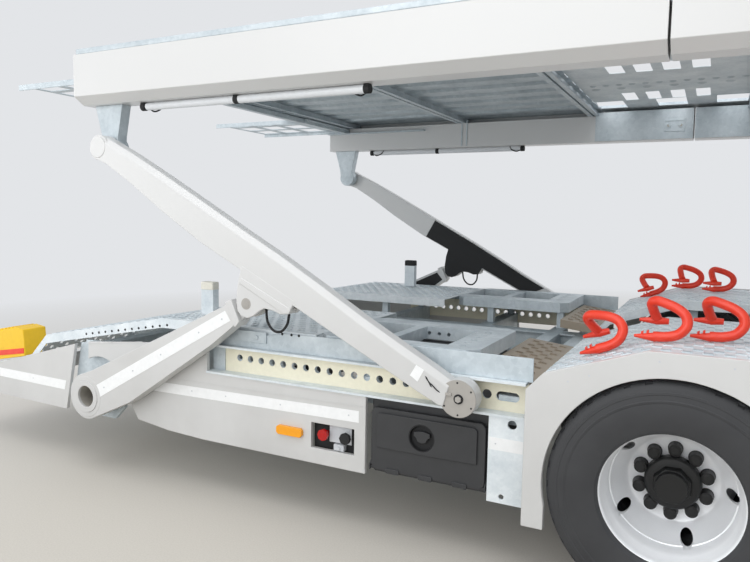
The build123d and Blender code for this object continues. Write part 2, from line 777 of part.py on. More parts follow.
def lift_end(prefix, finish):
    """Tube, short arms and long arms of one end, carried to their place by finish."""
    with BuildPart() as lift_tube:
        with BuildSketch(side_plane(0)):
            side_disc(lift_axis, lift_tube_radius)
            side_disc(lift_axis, lift_tube_bore, Mode.SUBTRACT)
        extrude(amount=half_width, both=True)
    with BuildPart() as short_arms:
        with BuildSketch(side_plane(-arm_inner_y)):
            side_face(short_arm_outline)
            side_poly(lift_axis, ring_radius, 32)
            side_disc(lift_axis, lift_tube_radius + running_gap, Mode.SUBTRACT)
        extrude(amount=arm_layer)
        with BuildSketch(side_plane(-arm_inner_y - lug_wall - lug_gap)):
            tapered_bar(eye_start, arm_joint, eye_half, eye_radius_outer)
            side_poly(arm_joint, eye_radius_outer, pin_sides)
        extrude(amount=arm_layer - 2 * (lug_wall + lug_gap))
        with BuildSketch(side_plane(-arm_inner_y)):
            side_disc(arm_joint, joint_pin_radius)
        extrude(amount=arm_layer)
        both_sides()
    with BuildPart() as long_arms:
        with BuildSketch(side_plane(-arm_inner_y)):
            side_face(arm_outline)
            side_poly(arm_top, top_eye_radius, round_sides)
            side_poly(arm_slider, foot_radius, round_sides)
            side_poly(arm_top, joint_pin_radius + running_gap, pin_sides, hole=True)
        extrude(amount=arm_layer)
        with BuildSketch(*[side_plane(y) for y in (-arm_inner_y, -half_width + lug_wall)]):
            side_face(lug_outline)
            side_poly(arm_joint, lug_radius, round_sides)
            side_poly(arm_joint, joint_pin_radius + running_gap, pin_sides, hole=True)
        extrude(amount=lug_wall)
        with BuildSketch(side_plane(-arm_inner_y)):
            side_poly(arm_slider, roller_radius / 2, 8)
        extrude(amount=-(arm_clearance + roller_width + 4))
        with BuildSketch(side_plane(-arm_inner_y + arm_clearance + 4)):
            side_poly(arm_slider, roller_radius, round_sides)
        extrude(amount=-roller_width)
        both_sides()
    for piece, label in ((lift_tube, "lift_tube"), (short_arms, "short_arms"), (long_arms, "long_arms")):
        placed = finish(piece.part)
        placed.label = prefix + label
        export_step(placed, "parts/" + prefix + label + ".step")


lift_end("rear_", lambda part: part)
lift_end("front_", lambda part: part.mirror(cross_plane(linkage_middle)))

# Upper deck: hollow side beams in three lengths, with a chamfered lower edge and an upstand
beam_joints = (-75, 2 * linkage_middle + 75)
beam_joint_gap = 8
beam_box_top = deck_top - 60
beam_inner_y = half_width - beam_width
beam_spans = (
    (deck_rear, beam_joints[0] - beam_joint_gap / 2),
    (beam_joints[0] + beam_joint_gap / 2, beam_joints[1] - beam_joint_gap / 2),
    (beam_joints[1] + beam_joint_gap / 2, deck_front),
)
with BuildPart() as deck_side_beams:
    for start, end in beam_spans:
        with BuildSketch(cross_plane(start)):
            Polygon(
                (-half_width, deck_top), (-half_width, beam_bottom + beam_chamfer[1]),
                (-half_width + beam_chamfer[0], beam_bottom), (-beam_inner_y, beam_bottom),
                (-beam_inner_y, beam_box_top), (-half_width + beam_wall, beam_box_top),
                (-half_width + beam_wall, deck_top), align=None,
            )
            Polygon(
                (-half_width + beam_wall, beam_box_top - beam_wall),
                (-half_width + beam_wall, beam_bottom + beam_chamfer[1] + 2),
                (-half_width + beam_chamfer[0] + 2, beam_bottom + beam_wall),
                (-beam_inner_y - beam_wall, beam_bottom + beam_wall),
                (-beam_inner_y - beam_wall, beam_box_top - beam_wall), align=None, mode=Mode.SUBTRACT,
            )
        extrude(amount=end - start)
    both_sides()
save(deck_side_beams, "deck_side_beams")

rear_crossbeam_x = (-2662, -2510, -1605, -680, 245)
crossbeam_x = (
    *rear_crossbeam_x, linkage_middle, *[2 * linkage_middle - x for x in reversed(rear_crossbeam_x)],
)
with BuildPart() as deck_crossbeams:
    with BuildSketch(Plane.XY.offset(beam_box_top)):
        for x in crossbeam_x:
            with Locations((at(x), 0)):
                Rectangle(crossbeam_size[0], 2 * (half_width - beam_wall - 1))
    extrude(amount=crossbeam_size[1] - deck_sheet)
save(deck_crossbeams, "deck_crossbeams")

# Deck sheets: ribbed along the trailer at both ends, perforated in the middle
sheet_half = half_width - beam_wall - 2
ribbed_spans = ((deck_rear + 2, -640), (2 * linkage_middle + 640, deck_front - 2))
rib_pitch = 210
rib_count = 12
sheet_z = beam_box_top + crossbeam_size[1] - deck_sheet
rib_top = rib_height - deck_sheet
rib_edges = [(-sheet_half, 0)]
for rib in range(rib_count):
    rib_y = (rib - (rib_count - 1) / 2) * rib_pitch
    rib_edges += [(rib_y - 60, 0), (rib_y - 45, rib_top), (rib_y + 45, rib_top), (rib_y + 60, 0)]
rib_edges += [(sheet_half, 0)]
with BuildPart() as deck_ribbed_sheets:
    for start, end in ribbed_spans:
        with BuildSketch(cross_plane(start)):
            Polygon(
                *[(y, sheet_z + z) for y, z in rib_edges],
                *[(y, sheet_z + z + deck_sheet) for y, z in reversed(rib_edges)], align=None,
            )
        extrude(amount=end - start)
save(deck_ribbed_sheets, "deck_ribbed_sheets")

middle_span = (-636, 2 * linkage_middle + 636)
small_windows = ((-397, -271, -146, -20, 500, 626, 751), (-60,), (76, 185))
large_windows = ((-550, -200, 125, 500, 826), (-965, 965), (165, 250))
with BuildPart() as deck_middle_sheets:
    with BuildSketch(Plane.XY.offset(sheet_z)):
        with Locations((at(sum(middle_span) / 2), 0)):
            Rectangle(middle_span[1] - middle_span[0], 2 * sheet_half)
        for rows, lines, size in (small_windows, large_windows):
            for x in rows:
                for place in (x, 2 * linkage_middle - x):
                    with Locations(*[(at(place), y) for y in lines]):
                        Rectangle(size[0], size[1], mode=Mode.SUBTRACT)
    extrude(amount=deck_sheet)
save(deck_middle_sheets, "deck_middle_sheets")

# Top rails on the side beams
top_rail = (30, 25)
with BuildPart() as deck_top_rails:
    with BuildSketch(cross_plane(deck_rear + 60)):
        with Locations((-half_width + top_rail[0] / 2, deck_top + top_rail[1] / 2)):
            Rectangle(top_rail[0], top_rail[1])
    extrude(amount=deck_front - deck_rear - 120)
    both_sides()
save(deck_top_rails, "deck_top_rails")

# Deck brackets: at the rear each holds the long arm's top pin, at the front the pin slides in a slot
bracket_y = (beam_inner_y + 12, side_y)
slot_travel = (-92, 102)
slot_gap = 0.3
front_top = (2 * linkage_middle - arm_top[0], arm_top[1])
with BuildPart() as deck_brackets:
    with BuildSketch(side_plane(-bracket_y[0])):
        side_face([
            (arm_top[0] - 105, beam_bottom), (arm_top[0] + 205, beam_bottom), (arm_top[0] + 50, arm_top[1] - 30),
            (arm_top[0] - 50, arm_top[1] - 30),
        ])
        side_poly(arm_top, top_eye_radius, round_sides)
    extrude(amount=bracket_y[1] - bracket_y[0])
    with BuildSketch(side_plane(-bracket_y[0])):
        side_disc(arm_top, joint_pin_radius)
    extrude(amount=half_width - 2 - bracket_y[0])
    with BuildSketch(side_plane(-bracket_y[0])):
        side_face([
            (front_top[0] - 170, beam_bottom), (front_top[0] + 150, beam_bottom),
            (front_top[0] + 170, front_top[1] + 44), (front_top[0] + 170, front_top[1] - 56),
            (front_top[0] - 155, front_top[1] - 56), (front_top[0] - 170, front_top[1] + 34),
        ])
        with Locations((at(front_top[0] + sum(slot_travel) / 2), front_top[1])):
            SlotOverall(
                slot_travel[1] - slot_travel[0] + 2 * (joint_pin_radius + slot_gap),
                2 * (joint_pin_radius + slot_gap), mode=Mode.SUBTRACT,
            )
    extrude(amount=bracket_y[1] - bracket_y[0])
    both_sides()
save(deck_brackets, "deck_brackets")

# Top pins of the front long arms, that slide in the brackets' slots
with BuildPart() as front_top_pins:
    with BuildSketch(side_plane(-bracket_y[0])):
        side_disc(front_top, joint_pin_radius)
    extrude(amount=half_width - 2 - bracket_y[0])
    both_sides()
save(front_top_pins, "front_top_pins")

# Light tubes under the side beams, each with three clamps
light_radius = 19
light_y = beam_inner_y + 45
light_span = (-2330, -1161)
light_clamp = 30
with BuildPart() as deck_lights:
    light_z = beam_bottom - light_radius - 8
    with BuildSketch(cross_plane(light_span[0])):
        with Locations((-light_y, light_z)):
            RegularPolygon(light_radius, 10)
    extrude(amount=light_span[1] - light_span[0])
    with BuildSketch(*[cross_plane(x) for x in (light_span[0], sum(light_span) / 2, light_span[1])]):
        with Locations((-light_y, (light_z + beam_bottom) / 2 - 10)):
            Rectangle(52, beam_bottom - light_z + 20)
    extrude(amount=light_clamp / 2, both=True)
    both_ends()
    both_sides()
save(deck_lights, "deck_lights")

# Pull-out extensions at the rear, in shelves on the side beams
extension_span = (-3330, -2520)
extension_y = (500, beam_inner_y - 8)
extension_windows = 3
extension_bar = 45
extension_height = 30
extension_wall = 6
extension_top = beam_box_top - 6
with BuildPart() as deck_extensions:
    with BuildSketch(Plane.XY.offset(extension_top - extension_wall)):
        with Locations((at(sum(extension_span) / 2), -sum(extension_y) / 2)):
            Rectangle(extension_span[1] - extension_span[0], extension_y[1] - extension_y[0])
        window_pitch_x = (deck_rear - extension_span[0]) / extension_windows
        window_pitch_y = (extension_y[1] - extension_y[0]) / extension_windows
        for row in range(extension_windows):
            for column in range(extension_windows):
                with Locations((
                    at(extension_span[0] + (row + 0.5) * window_pitch_x),
                    -extension_y[0] - (column + 0.5) * window_pitch_y,
                )):
                    Rectangle(window_pitch_x - extension_bar, window_pitch_y - extension_bar, mode=Mode.SUBTRACT)
    extrude(amount=extension_wall)
    for y in (extension_y[0] + extension_wall, extension_y[1]):
        with BuildSketch(Plane.XY.offset(extension_top - extension_height)):
            with Locations((at(sum(extension_span) / 2), -y + extension_wall / 2)):
                Rectangle(extension_span[1] - extension_span[0], extension_wall)
        extrude(amount=extension_height)
    with BuildSketch(cross_plane(extension_span[1] - 60)):
        with Locations((0, extension_top - extension_height / 2)):
            Rectangle(2 * extension_y[1], extension_height)
    extrude(amount=40)
    both_sides()
save(deck_extensions, "deck_extensions")

shelf_gap = 0.3
shelf_length = 820
with BuildPart() as extension_shelves:
    with BuildSketch(cross_plane(deck_rear)):
        with Locations((-beam_inner_y + 20, extension_top - extension_height - shelf_gap - 4)):
            Rectangle(40, 8)
    extrude(amount=shelf_length)
    both_sides()
save(extension_shelves, "extension_shelves")

# Twin wheels: tyres, pressed rims bolted back to back, and the hub with its studs
outer_wheel_y = half_width - tyre_width / 2
cup_sides = 24
rim_half = twin_spacing / 2 + 96
lip_wall = 6
hand_holes = 5
hand_hole_radius = 21
hand_hole_circle = 183
first_hand_hole = 135
hub_sides = 16
hub_rounds = (
    # start and end outwards from the disc's mounting face, radius, sides
    (-hub_length, -disc_wall - 16, 85, hub_sides), (-disc_wall - 16, -disc_wall, hub_flange_radius + 12, hub_sides),
    (-disc_wall, disc_wall, disc_bore - 1, hub_sides), (disc_wall, disc_wall + 34, 92, hub_sides),
    (disc_wall + 34, disc_wall + 58, 66, 8), (disc_wall + 58, disc_wall + 82, 50, hub_sides),
)
wheels = (
    # name, x, side
    ("rear_left", 0, 1), ("rear_right", 0, -1), ("front_left", axle_spacing, 1), ("front_right", axle_spacing, -1),
)


for name, wheel_x, side in wheels:
    with BuildPart() as tyres:
        for y in (outer_wheel_y, outer_wheel_y - twin_spacing):
            with BuildSketch(side_plane(side * y)):
                with Locations((at(wheel_x), axle_height)):
                    Circle(tyre_radius)
                    RegularPolygon(bead_radius, cup_sides, mode=Mode.SUBTRACT)
            extrude(amount=tyre_width / 2, both=True)
    save(tyres, name + "_tyres")
    with BuildPart() as rims:
        with BuildSketch(side_plane(side * disc_face_y)):
            with Locations((at(wheel_x), axle_height)):
                RegularPolygon(bead_radius - running_gap, cup_sides)
        extrude(amount=rim_half, both=True)
        for way in (-1, 1):
            with BuildSketch(side_plane(side * (disc_face_y + way * disc_wall))):
                with Locations((at(wheel_x), axle_height)):
                    RegularPolygon(bead_radius - rim_wall, cup_sides)
            extrude(amount=-side * way * (rim_half - disc_wall), mode=Mode.SUBTRACT)
        with BuildSketch(side_plane(side * disc_face_y)):
            with Locations((at(wheel_x), axle_height)):
                RegularPolygon(disc_bore, hub_sides)
                with PolarLocations(hand_hole_circle, hand_holes, start_angle=first_hand_hole):
                    RegularPolygon(hand_hole_radius, 8)
        extrude(amount=2 * disc_wall, both=True, mode=Mode.SUBTRACT)
    save(rims, name + "_rims")
    with BuildPart() as hub:
        for start, end, radius, sides in hub_rounds:
            with BuildSketch(side_plane(side * (disc_face_y + start))):
                with Locations((at(wheel_x), axle_height)):
                    RegularPolygon(radius, sides)
            extrude(amount=-side * (end - start))
        with BuildSketch(side_plane(side * hub_inner_y)):
            with Locations((at(wheel_x), axle_height)):
                Circle(spindle_radius + running_gap)
        extrude(amount=-side * (spindle_tip + 8 - hub_inner_y), mode=Mode.SUBTRACT)
        with BuildSketch(side_plane(side * (disc_face_y + disc_wall))):
            with Locations((at(wheel_x), axle_height)):
                with PolarLocations(stud_circle / 2, stud_count):
                    RegularPolygon(stud_radius, 6)
        extrude(amount=-side * stud_length)
    save(hub, name + "_hub")
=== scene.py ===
from math import atan2, cos, hypot, pi, radians, sin
import bmesh
import bpy
from mathutils import Matrix, Vector


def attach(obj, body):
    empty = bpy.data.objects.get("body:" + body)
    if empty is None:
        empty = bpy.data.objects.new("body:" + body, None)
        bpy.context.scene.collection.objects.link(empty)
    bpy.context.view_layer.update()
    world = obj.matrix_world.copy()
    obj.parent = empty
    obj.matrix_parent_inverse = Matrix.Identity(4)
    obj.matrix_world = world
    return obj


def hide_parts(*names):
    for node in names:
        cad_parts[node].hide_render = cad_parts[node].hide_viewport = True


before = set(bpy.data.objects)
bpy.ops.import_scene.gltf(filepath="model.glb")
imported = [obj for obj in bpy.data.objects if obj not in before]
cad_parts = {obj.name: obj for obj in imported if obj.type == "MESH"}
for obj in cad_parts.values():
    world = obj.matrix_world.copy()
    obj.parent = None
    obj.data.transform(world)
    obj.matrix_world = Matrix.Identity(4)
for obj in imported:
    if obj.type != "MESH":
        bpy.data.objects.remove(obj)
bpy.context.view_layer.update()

# Camera: it stands 3.5 m off the kerb side, level with the wheel arches, and looks towards the rear
# half of the trailer. Places along the trailer are counted from the rear axle, in metres.
scene = bpy.context.scene
scene.view_settings.view_transform = "Standard"
rear_axle_x = -1.150
front_axle_x = rear_axle_x + 1.310
camera_place = Vector((rear_axle_x + 0.090, -3.546, 1.293))
camera_yaw, camera_pitch, camera_roll = radians(-26.911), radians(-5.345), radians(0.935)
forward = Vector((
    sin(camera_yaw) * cos(camera_pitch), cos(camera_yaw) * cos(camera_pitch), sin(camera_pitch),
))
level = Vector((cos(camera_yaw), -sin(camera_yaw), 0))
upward = level.cross(forward)
right = level * cos(camera_roll) + upward * sin(camera_roll)
top = -level * sin(camera_roll) + upward * cos(camera_roll)
camera = bpy.data.objects.new("camera", bpy.data.cameras.new("camera"))
camera.data.lens = 32.219
camera.data.sensor_width = 36
camera.data.clip_end = 200
camera.matrix_world = Matrix((
    (right.x, top.x, -forward.x, camera_place.x),
    (right.y, top.y, -forward.y, camera_place.y),
    (right.z, top.z, -forward.z, camera_place.z),
    (0, 0, 0, 1),
))
scene.collection.objects.link(camera)
scene.camera = camera


def linear(hex_colour):
    """sRGB hex colour as linear RGBA."""
    channels = [int(hex_colour[i:i + 2], 16) / 255 for i in (1, 3, 5)]
    return (*[c / 12.92 if c <= 0.04045 else ((c + 0.055) / 1.055) ** 2.4 for c in channels], 1)


def feed(node, inputs):
    """Sets a node's inputs to values, or links them to sockets of other nodes."""
    for key, value in inputs.items():
        if isinstance(value, bpy.types.NodeSocket):
            node.id_data.links.new(value, node.inputs[key])
        else:
            node.inputs[key].default_value = value


def add(tree, kind, inputs=None, **settings):
    """One shader node with its settings and inputs. A Mix takes its two colours in inputs 6 and 7."""
    node = tree.nodes.new("ShaderNode" + kind)
    for key, value in settings.items():
        setattr(node, key, value)
    feed(node, inputs or {})
    return node


def finish(name):
    """A new material with its tree, its shader and the Object coordinates that its patterns read."""
    material = bpy.data.materials.new(name)
    material.use_nodes = True
    tree = material.node_tree
    return material, tree, tree.nodes["Principled BSDF"], add(tree, "TexCoord").outputs["Object"]


def tinted(tree, shader, factor, first, second):
    """Base colour that runs from one hex colour to another with a factor."""
    colour = add(tree, "Mix", {"Factor": factor, 6: linear(first), 7: linear(second)}, data_type="RGBA")
    feed(shader, {"Base Color": colour.outputs[2]})


# Yard: pale dry asphalt under soft daylight from large panels and a bright sky. The floor fades
# into the same pale tone as the surround, so that no horizon shows behind the trailer.
floor_mesh = bmesh.new()
bmesh.ops.create_grid(floor_mesh, x_segments=1, y_segments=1, size=80)
yard_floor = bpy.data.objects.new("yard_floor", bpy.data.meshes.new("yard_floor"))
floor_mesh.to_mesh(yard_floor.data)
floor_mesh.free()
scene.collection.objects.link(yard_floor)
surround = linear("#E3E5E8")
yard_asphalt, tree, shader, place = finish("yard_asphalt")
chips = add(tree, "TexNoise", {"Vector": place, "Scale": 160.0, "Detail": 3})
tinted(tree, shader, chips.outputs[0], "#B9B4AB", "#CFCAC1")
feed(shader, {"Roughness": 0.9})
away = add(tree, "VectorMath", {0: place}, operation="LENGTH")
fade = add(tree, "MapRange", {"Value": away.outputs["Value"], "From Min": 4.0, "From Max": 10.5})
haze = add(tree, "Emission", {"Color": surround})
blend = add(tree, "MixShader", {0: fade.outputs[0], 1: shader.outputs[0], 2: haze.outputs[0]})
feed(tree.nodes["Material Output"], {"Surface": blend.outputs[0]})
yard_floor.data.materials.append(yard_asphalt)

sky = bpy.data.worlds.new("soft_sky")
sky.use_nodes = True
scene.world = sky
tree = sky.node_tree
tree.nodes.clear()
paths = add(tree, "LightPath")
camera_ray, glossy_ray, through_ray = [
    paths.outputs[f"Is {kind} Ray"] for kind in ("Camera", "Glossy", "Transmission")
]
seen = add(tree, "Math", {0: camera_ray, 1: glossy_ray}, operation="MAXIMUM")
seen_through = add(tree, "Math", {0: seen.outputs[0], 1: through_ray}, operation="MAXIMUM")
sky_light = add(tree, "Background", {"Color": linear("#EEF2F7"), "Strength": 0.80})
sky_view = add(tree, "Background", {"Color": surround, "Strength": 1.0})
sky_mix = add(tree, "MixShader", {
    0: seen_through.outputs[0], 1: sky_light.outputs[0], 2: sky_view.outputs[0],
})
add(tree, "OutputWorld", {"Surface": sky_mix.outputs[0]})

panels = (
    # name, place, aim, size, watts
    ("panel_above", (-1.5, -3.0, 7.5), (-1.0, 0, 0.8), 7.0, 260),
    ("panel_camera_side", (-3.5, -8.0, 3.5), (-1.2, 0, 0.9), 6.0, 200),
    ("panel_far_side", (2.5, 7.5, 5.0), (0, 0, 0.9), 6.0, 150),
    ("panel_low_behind", (-8.5, -3.6, 1.3), (-1.8, 1.2, 1.1), 3.0, 55),
)
for name, place, aim, size, watts in panels:
    panel = bpy.data.objects.new(name, bpy.data.lights.new(name, "AREA"))
    panel.data.shape = "DISK"
    panel.data.size = size
    panel.data.energy = watts
    panel.location = place
    panel.rotation_euler = (Vector(aim) - Vector(place)).to_track_quat("-Z", "Y").to_euler()
    scene.collection.objects.link(panel)


def plain_finish(name, hex_colour, roughness):
    """One colour that drifts a little darker and lighter over two centimetres, as on handled parts."""
    material, tree, shader, place = finish(name)
    cloud = add(tree, "TexNoise", {"Vector": place, "Scale": 45.0, "Detail": 4})
    value = add(tree, "MapRange", {"Value": cloud.outputs[0], "To Min": 0.9, "To Max": 1.04})
    colour = add(tree, "HueSaturation", {"Color": linear(hex_colour), "Value": value.outputs[0]})
    feed(shader, {"Base Color": colour.outputs[0], "Roughness": roughness})
    return material


def rounded(piece, width, segments=2, angle=35):
    """Rounded edges as a live bevel."""
    rounding = piece.modifiers.new("rounding", "BEVEL")
    rounding.width = width
    rounding.segments = segments
    rounding.limit_method = "ANGLE"
    rounding.angle_limit = radians(angle)


def dress(names, material):
    """CAD nodes that keep their own shape get a finish and a small round on their edges."""
    for name in names:
        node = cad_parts[name]
        node.data.materials.clear()
        node.data.materials.append(material)
        merge = node.modifiers.new("merge", "WELD")
        merge.merge_threshold = 0.00002
        rounded(node, 0.0015, 1, 40)


def grained(tree, shader, place, scale, detail, strength, distance):
    """Fine bumps from a noise."""
    grain = add(tree, "TexNoise", {"Vector": place, "Scale": scale, "Detail": detail})
    bump = add(tree, "Bump", {"Strength": strength, "Distance": distance, "Height": grain.outputs[0]})
    feed(shader, {"Normal": bump.outputs[0]})


def spangled(tree, place, crystals, crystal_share, patches, detail, roughness):
    """Zinc's crystals over its cloudy patches, as one value that grows with brightness."""
    spangle = add(tree, "TexVoronoi", {"Vector": place, "Scale": crystals})
    patch = add(tree, "TexNoise", {
        "Vector": place, "Scale": patches, "Detail": detail, "Roughness": roughness,
    })
    tone = add(tree, "Math", {0: spangle.outputs["Color"], 1: crystal_share}, operation="MULTIPLY")
    return add(tree, "Math", {0: tone.outputs[0], 1: patch.outputs[0]}, operation="ADD").outputs[0]


# Chassis: two I-beams with crossmembers and outriggers, the drawbar and its leg, all welded from
# rolled steel and hot-dip galvanised, with a primed cast-iron towing eye bolted on in front. The
# zinc's crystals are a few centimetres across, bluish grey, half matt, with runs and dull patches.
hot_dip_zinc, tree, shader, place = finish("hot_dip_galvanised_steel")
mixed = spangled(tree, place, 55.0, 0.16, 6.0, 6, 0.65)
ramp = add(tree, "ValToRGB", {0: mixed})
dull, clear = ramp.color_ramp.elements
dull.position, dull.color = 0.35, linear("#AEB9BF")
clear.position, clear.color = 0.95, linear("#DCE4E8")
rough = add(tree, "MapRange", {
    "Value": mixed, "From Min": 0.3, "From Max": 1.0, "To Min": 0.52, "To Max": 0.36,
})
feed(shader, {"Base Color": ramp.outputs[0], "Metallic": 0.25, "Roughness": rough.outputs[0]})
grained(tree, shader, place, 90.0, 4, 0.15, 0.0008)
dress(("chassis_frame", "drawbar", "landing_leg"), hot_dip_zinc)
dress(("towing_eye",), plain_finish("cast_iron_primer", "#55575A", 0.6))

def clouded(name, noise, colours, roughness, metallic=0.0, grain=None):
    """Finish whose two hex colours and two roughnesses drift with a noise (scale, detail). Its grain
    is (scale, detail, strength, distance) of fine bumps."""
    material, tree, shader, place = finish(name)
    cloud = add(tree, "TexNoise", {"Vector": place, "Scale": noise[0], "Detail": noise[1]})
    tinted(tree, shader, cloud.outputs[0], *colours)
    rough = add(tree, "MapRange", {
        "Value": cloud.outputs[0], "To Min": roughness[0], "To Max": roughness[1],
    })
    feed(shader, {"Metallic": metallic, "Roughness": rough.outputs[0]})
    if grain:
        grained(tree, shader, place, *grain)
    return material


# Axles and suspension: two axle beams on trailing arms with rolling-lobe air bags, and the brakes'
# air tank. The steel wears half-gloss black chassis paint with dust, the bags are moulded rubber.
chassis_black = clouded("black_chassis_paint", (9.0, 5), ("#121315", "#222224"), (0.34, 0.62))
black_rubber = plain_finish("black_moulded_rubber", "#17181A", 0.7)
dress(("axle_beams", "trailing_arms", "air_tank"), chassis_black)
dress(("air_bags",), black_rubber)


def corners_of(geom):
    """The vertices among what an operator made."""
    return [part for part in geom if isinstance(part, bmesh.types.BMVert)]


def copied(mesh):
    """Doubles everything in the mesh where it stands, and gives the copy's vertices."""
    return corners_of(bmesh.ops.duplicate(mesh, geom=mesh.verts[:] + mesh.edges[:] + mesh.faces[:])["geom"])


def spun(mesh, section, centre, steps, closed=True):
    """Turns a section of (y, radius) points once round the line across the trailer through (x, z)."""
    x, z = centre
    corners = [mesh.verts.new((x, y, z + radius)) for y, radius in section]
    following = corners[1:] + corners[:1] if closed else corners[1:]
    edges = [mesh.edges.new(pair) for pair in zip(corners, following)]
    bmesh.ops.spin(
        mesh, geom=corners + edges, cent=(x, 0, z), axis=(0, 1, 0), angle=2 * pi, steps=steps, use_merge=True,
    )


def keep(name, mesh, body, material, smooth=35):
    """A finished bmesh becomes a piece that rides on a body and wears the given finish."""
    bmesh.ops.recalc_face_normals(mesh, faces=mesh.faces)
    piece = bpy.data.objects.new(name, bpy.data.meshes.new(name))
    mesh.to_mesh(piece.data)
    mesh.free()
    scene.collection.objects.link(piece)
    piece.data.materials.append(material)
    piece.data.shade_smooth()
    piece.data.set_sharp_from_angle(angle=radians(smooth))
    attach(piece, body)
    return piece


# Tyres: 245/70 R17.5 highway tyres of moulded rubber, two on each wheel, with four grooves round
# the tread, slots across the shoulders and raised rings on the walls. The rubber is dark grey and
# fine-grained, with dust in faint clouds.
tyre_rubber = clouded(
    "tyre_rubber", (14.0, 6), ("#2B2C2F", "#3B3C3E"), (0.5, 0.7), grain=(300.0, 3, 0.2, 0.0004),
)
wheels = (
    # name, x, side
    ("rear_left", rear_axle_x, 1), ("rear_right", rear_axle_x, -1),
    ("front_left", front_axle_x, 1), ("front_right", front_axle_x, -1),
)
axle_height = 0.398
wheel_middle_y = 1.0155
twin_offset = 0.142
tyre_steps = 108
shoulder_from, shoulder_to, shoulder_radius, slot_pitch = 0.0885, 0.1040, 0.383, 3
half_tyre_section = (
    # along the axle from the tyre's middle, radius
    (0.098, 0.2225), (0.108, 0.232), (0.1150, 0.262), (0.1172, 0.290), (0.1172, 0.312), (0.1158, 0.325),
    (0.1166, 0.327), (0.1163, 0.334), (0.1148, 0.336), (0.1128, 0.352), (0.1138, 0.354), (0.1130, 0.361),
    (0.1112, 0.363), (0.1088, 0.374), (0.1040, 0.385), (0.0970, 0.392), (0.0890, 0.3950), (0.0710, 0.3965),
    (0.0690, 0.3870), (0.0630, 0.3870), (0.0610, 0.3970), (0.0270, 0.3978), (0.0250, 0.3880),
    (0.0190, 0.3880), (0.0170, 0.3980),
)
tyre_section = half_tyre_section + tuple((-y, r) for y, r in reversed(half_tyre_section))
for name, wheel_x, side in wheels:
    mesh = bmesh.new()
    spun(mesh, tyre_section, (0, 0), tyre_steps)
    shoulder = []
    for face in mesh.faces:
        middle = face.calc_center_median()
        turn = atan2(middle.z, middle.x) / (2 * pi) + 1
        if shoulder_from < abs(middle.y) < shoulder_to and hypot(middle.x, middle.z) > shoulder_radius:
            if int(turn * tyre_steps + 0.5) % slot_pitch == 0:
                shoulder.append(face)
    bmesh.ops.recalc_face_normals(mesh, faces=mesh.faces)
    bmesh.ops.inset_region(mesh, faces=shoulder, thickness=0.0015, depth=-0.005, use_even_offset=True)
    outer_y = side * (wheel_middle_y + twin_offset)
    bmesh.ops.translate(mesh, vec=(wheel_x, outer_y, axle_height), verts=mesh.verts)
    bmesh.ops.translate(mesh, vec=(0, -side * 2 * twin_offset, 0), verts=copied(mesh))
    tyres = keep(name + "_tyre_pair", mesh, name + "_wheel", tyre_rubber, 25)
    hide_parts(name + "_tyres")


def cone(mesh, matrix, sides, r1, r2, depth):
    """Capped round along a matrix's Z axis, with its two radii; gives its vertices."""
    return bmesh.ops.create_cone(
        mesh, cap_ends=True, segments=sides, radius1=r1, radius2=r2, depth=depth, matrix=matrix,
    )["verts"]


def drilled(mesh, holes, boxes=()):
    """The bmesh with holes cut across the trailer: (centre, radius, depth, sides, length of the slot).
    Rectangular openings are given as (centre, size)."""
    blank = bpy.data.objects.new("blank", bpy.data.meshes.new("blank"))
    mesh.to_mesh(blank.data)
    mesh.free()
    drill_mesh = bmesh.new()
    for centre, radius, depth, sides, slot in holes:
        middle = Matrix.Translation(centre) @ Matrix.Rotation(pi / 2, 4, "X")
        for vert in cone(drill_mesh, middle, sides, radius, radius, depth):
            vert.co.x += slot / 2 if vert.co.x > centre[0] else -slot / 2
    for centre, size in boxes:
        bmesh.ops.create_cube(drill_mesh, matrix=Matrix.Translation(centre) @ Matrix.Diagonal((*size, 1)))
    drill = bpy.data.objects.new("drill", bpy.data.meshes.new("drill"))
    drill_mesh.to_mesh(drill.data)
    drill_mesh.free()
    for part in (blank, drill):
        scene.collection.objects.link(part)
    cut = blank.modifiers.new("cut", "BOOLEAN")
    cut.operation = "DIFFERENCE"
    cut.solver = "EXACT"
    cut.object = drill
    result = bpy.data.meshes.new_from_object(blank.evaluated_get(bpy.context.evaluated_depsgraph_get()))
    holed = bmesh.new()
    holed.from_mesh(result)
    bpy.data.objects.remove(blank)
    bpy.data.objects.remove(drill)
    bpy.data.meshes.remove(result)
    return holed


# Rims: two pressed steel rims bolted back to back, with a deep dish, a rolled flange and five round
# hand holes each. Their silver wheel paint is smooth and half gloss, with fine bright flakes.
wheel_silver = clouded("silver_wheel_paint", (600.0, 2), ("#EEF0F3", "#FAFBFC"), (0.30, 0.30), 0.12)
dish_front = (
    # outwards from the disc's mounting face, radius
    (0.012, 0.078), (0.012, 0.146), (0.016, 0.154), (0.028, 0.164), (0.050, 0.177), (0.072, 0.188),
    (0.092, 0.1965), (0.104, 0.1985), (0.106, 0.2025), (0.150, 0.2030), (0.172, 0.2080), (0.186, 0.2150),
    (0.212, 0.2165), (0.222, 0.2180), (0.228, 0.2215), (0.2330, 0.2265),
)
dish_back = (
    (0.2400, 0.2330), (0.2440, 0.2380), (0.2440, 0.2420), (0.2330, 0.2425), (0.2290, 0.2290),
    (0.2150, 0.2225), (0.1880, 0.2210), (0.1740, 0.2140), (0.1500, 0.2090), (0.0980, 0.2085),
    (0.0900, 0.2060), (0.0700, 0.1965), (0.0480, 0.1850), (0.0200, 0.1700), (0.0060, 0.1560),
    (0.0005, 0.1480), (0.0005, 0.078),
)
hand_hole_radius, hand_hole_circle = 0.0205, 0.186
hand_hole_turns = [radians(-53 + 72 * hole) for hole in range(5)]
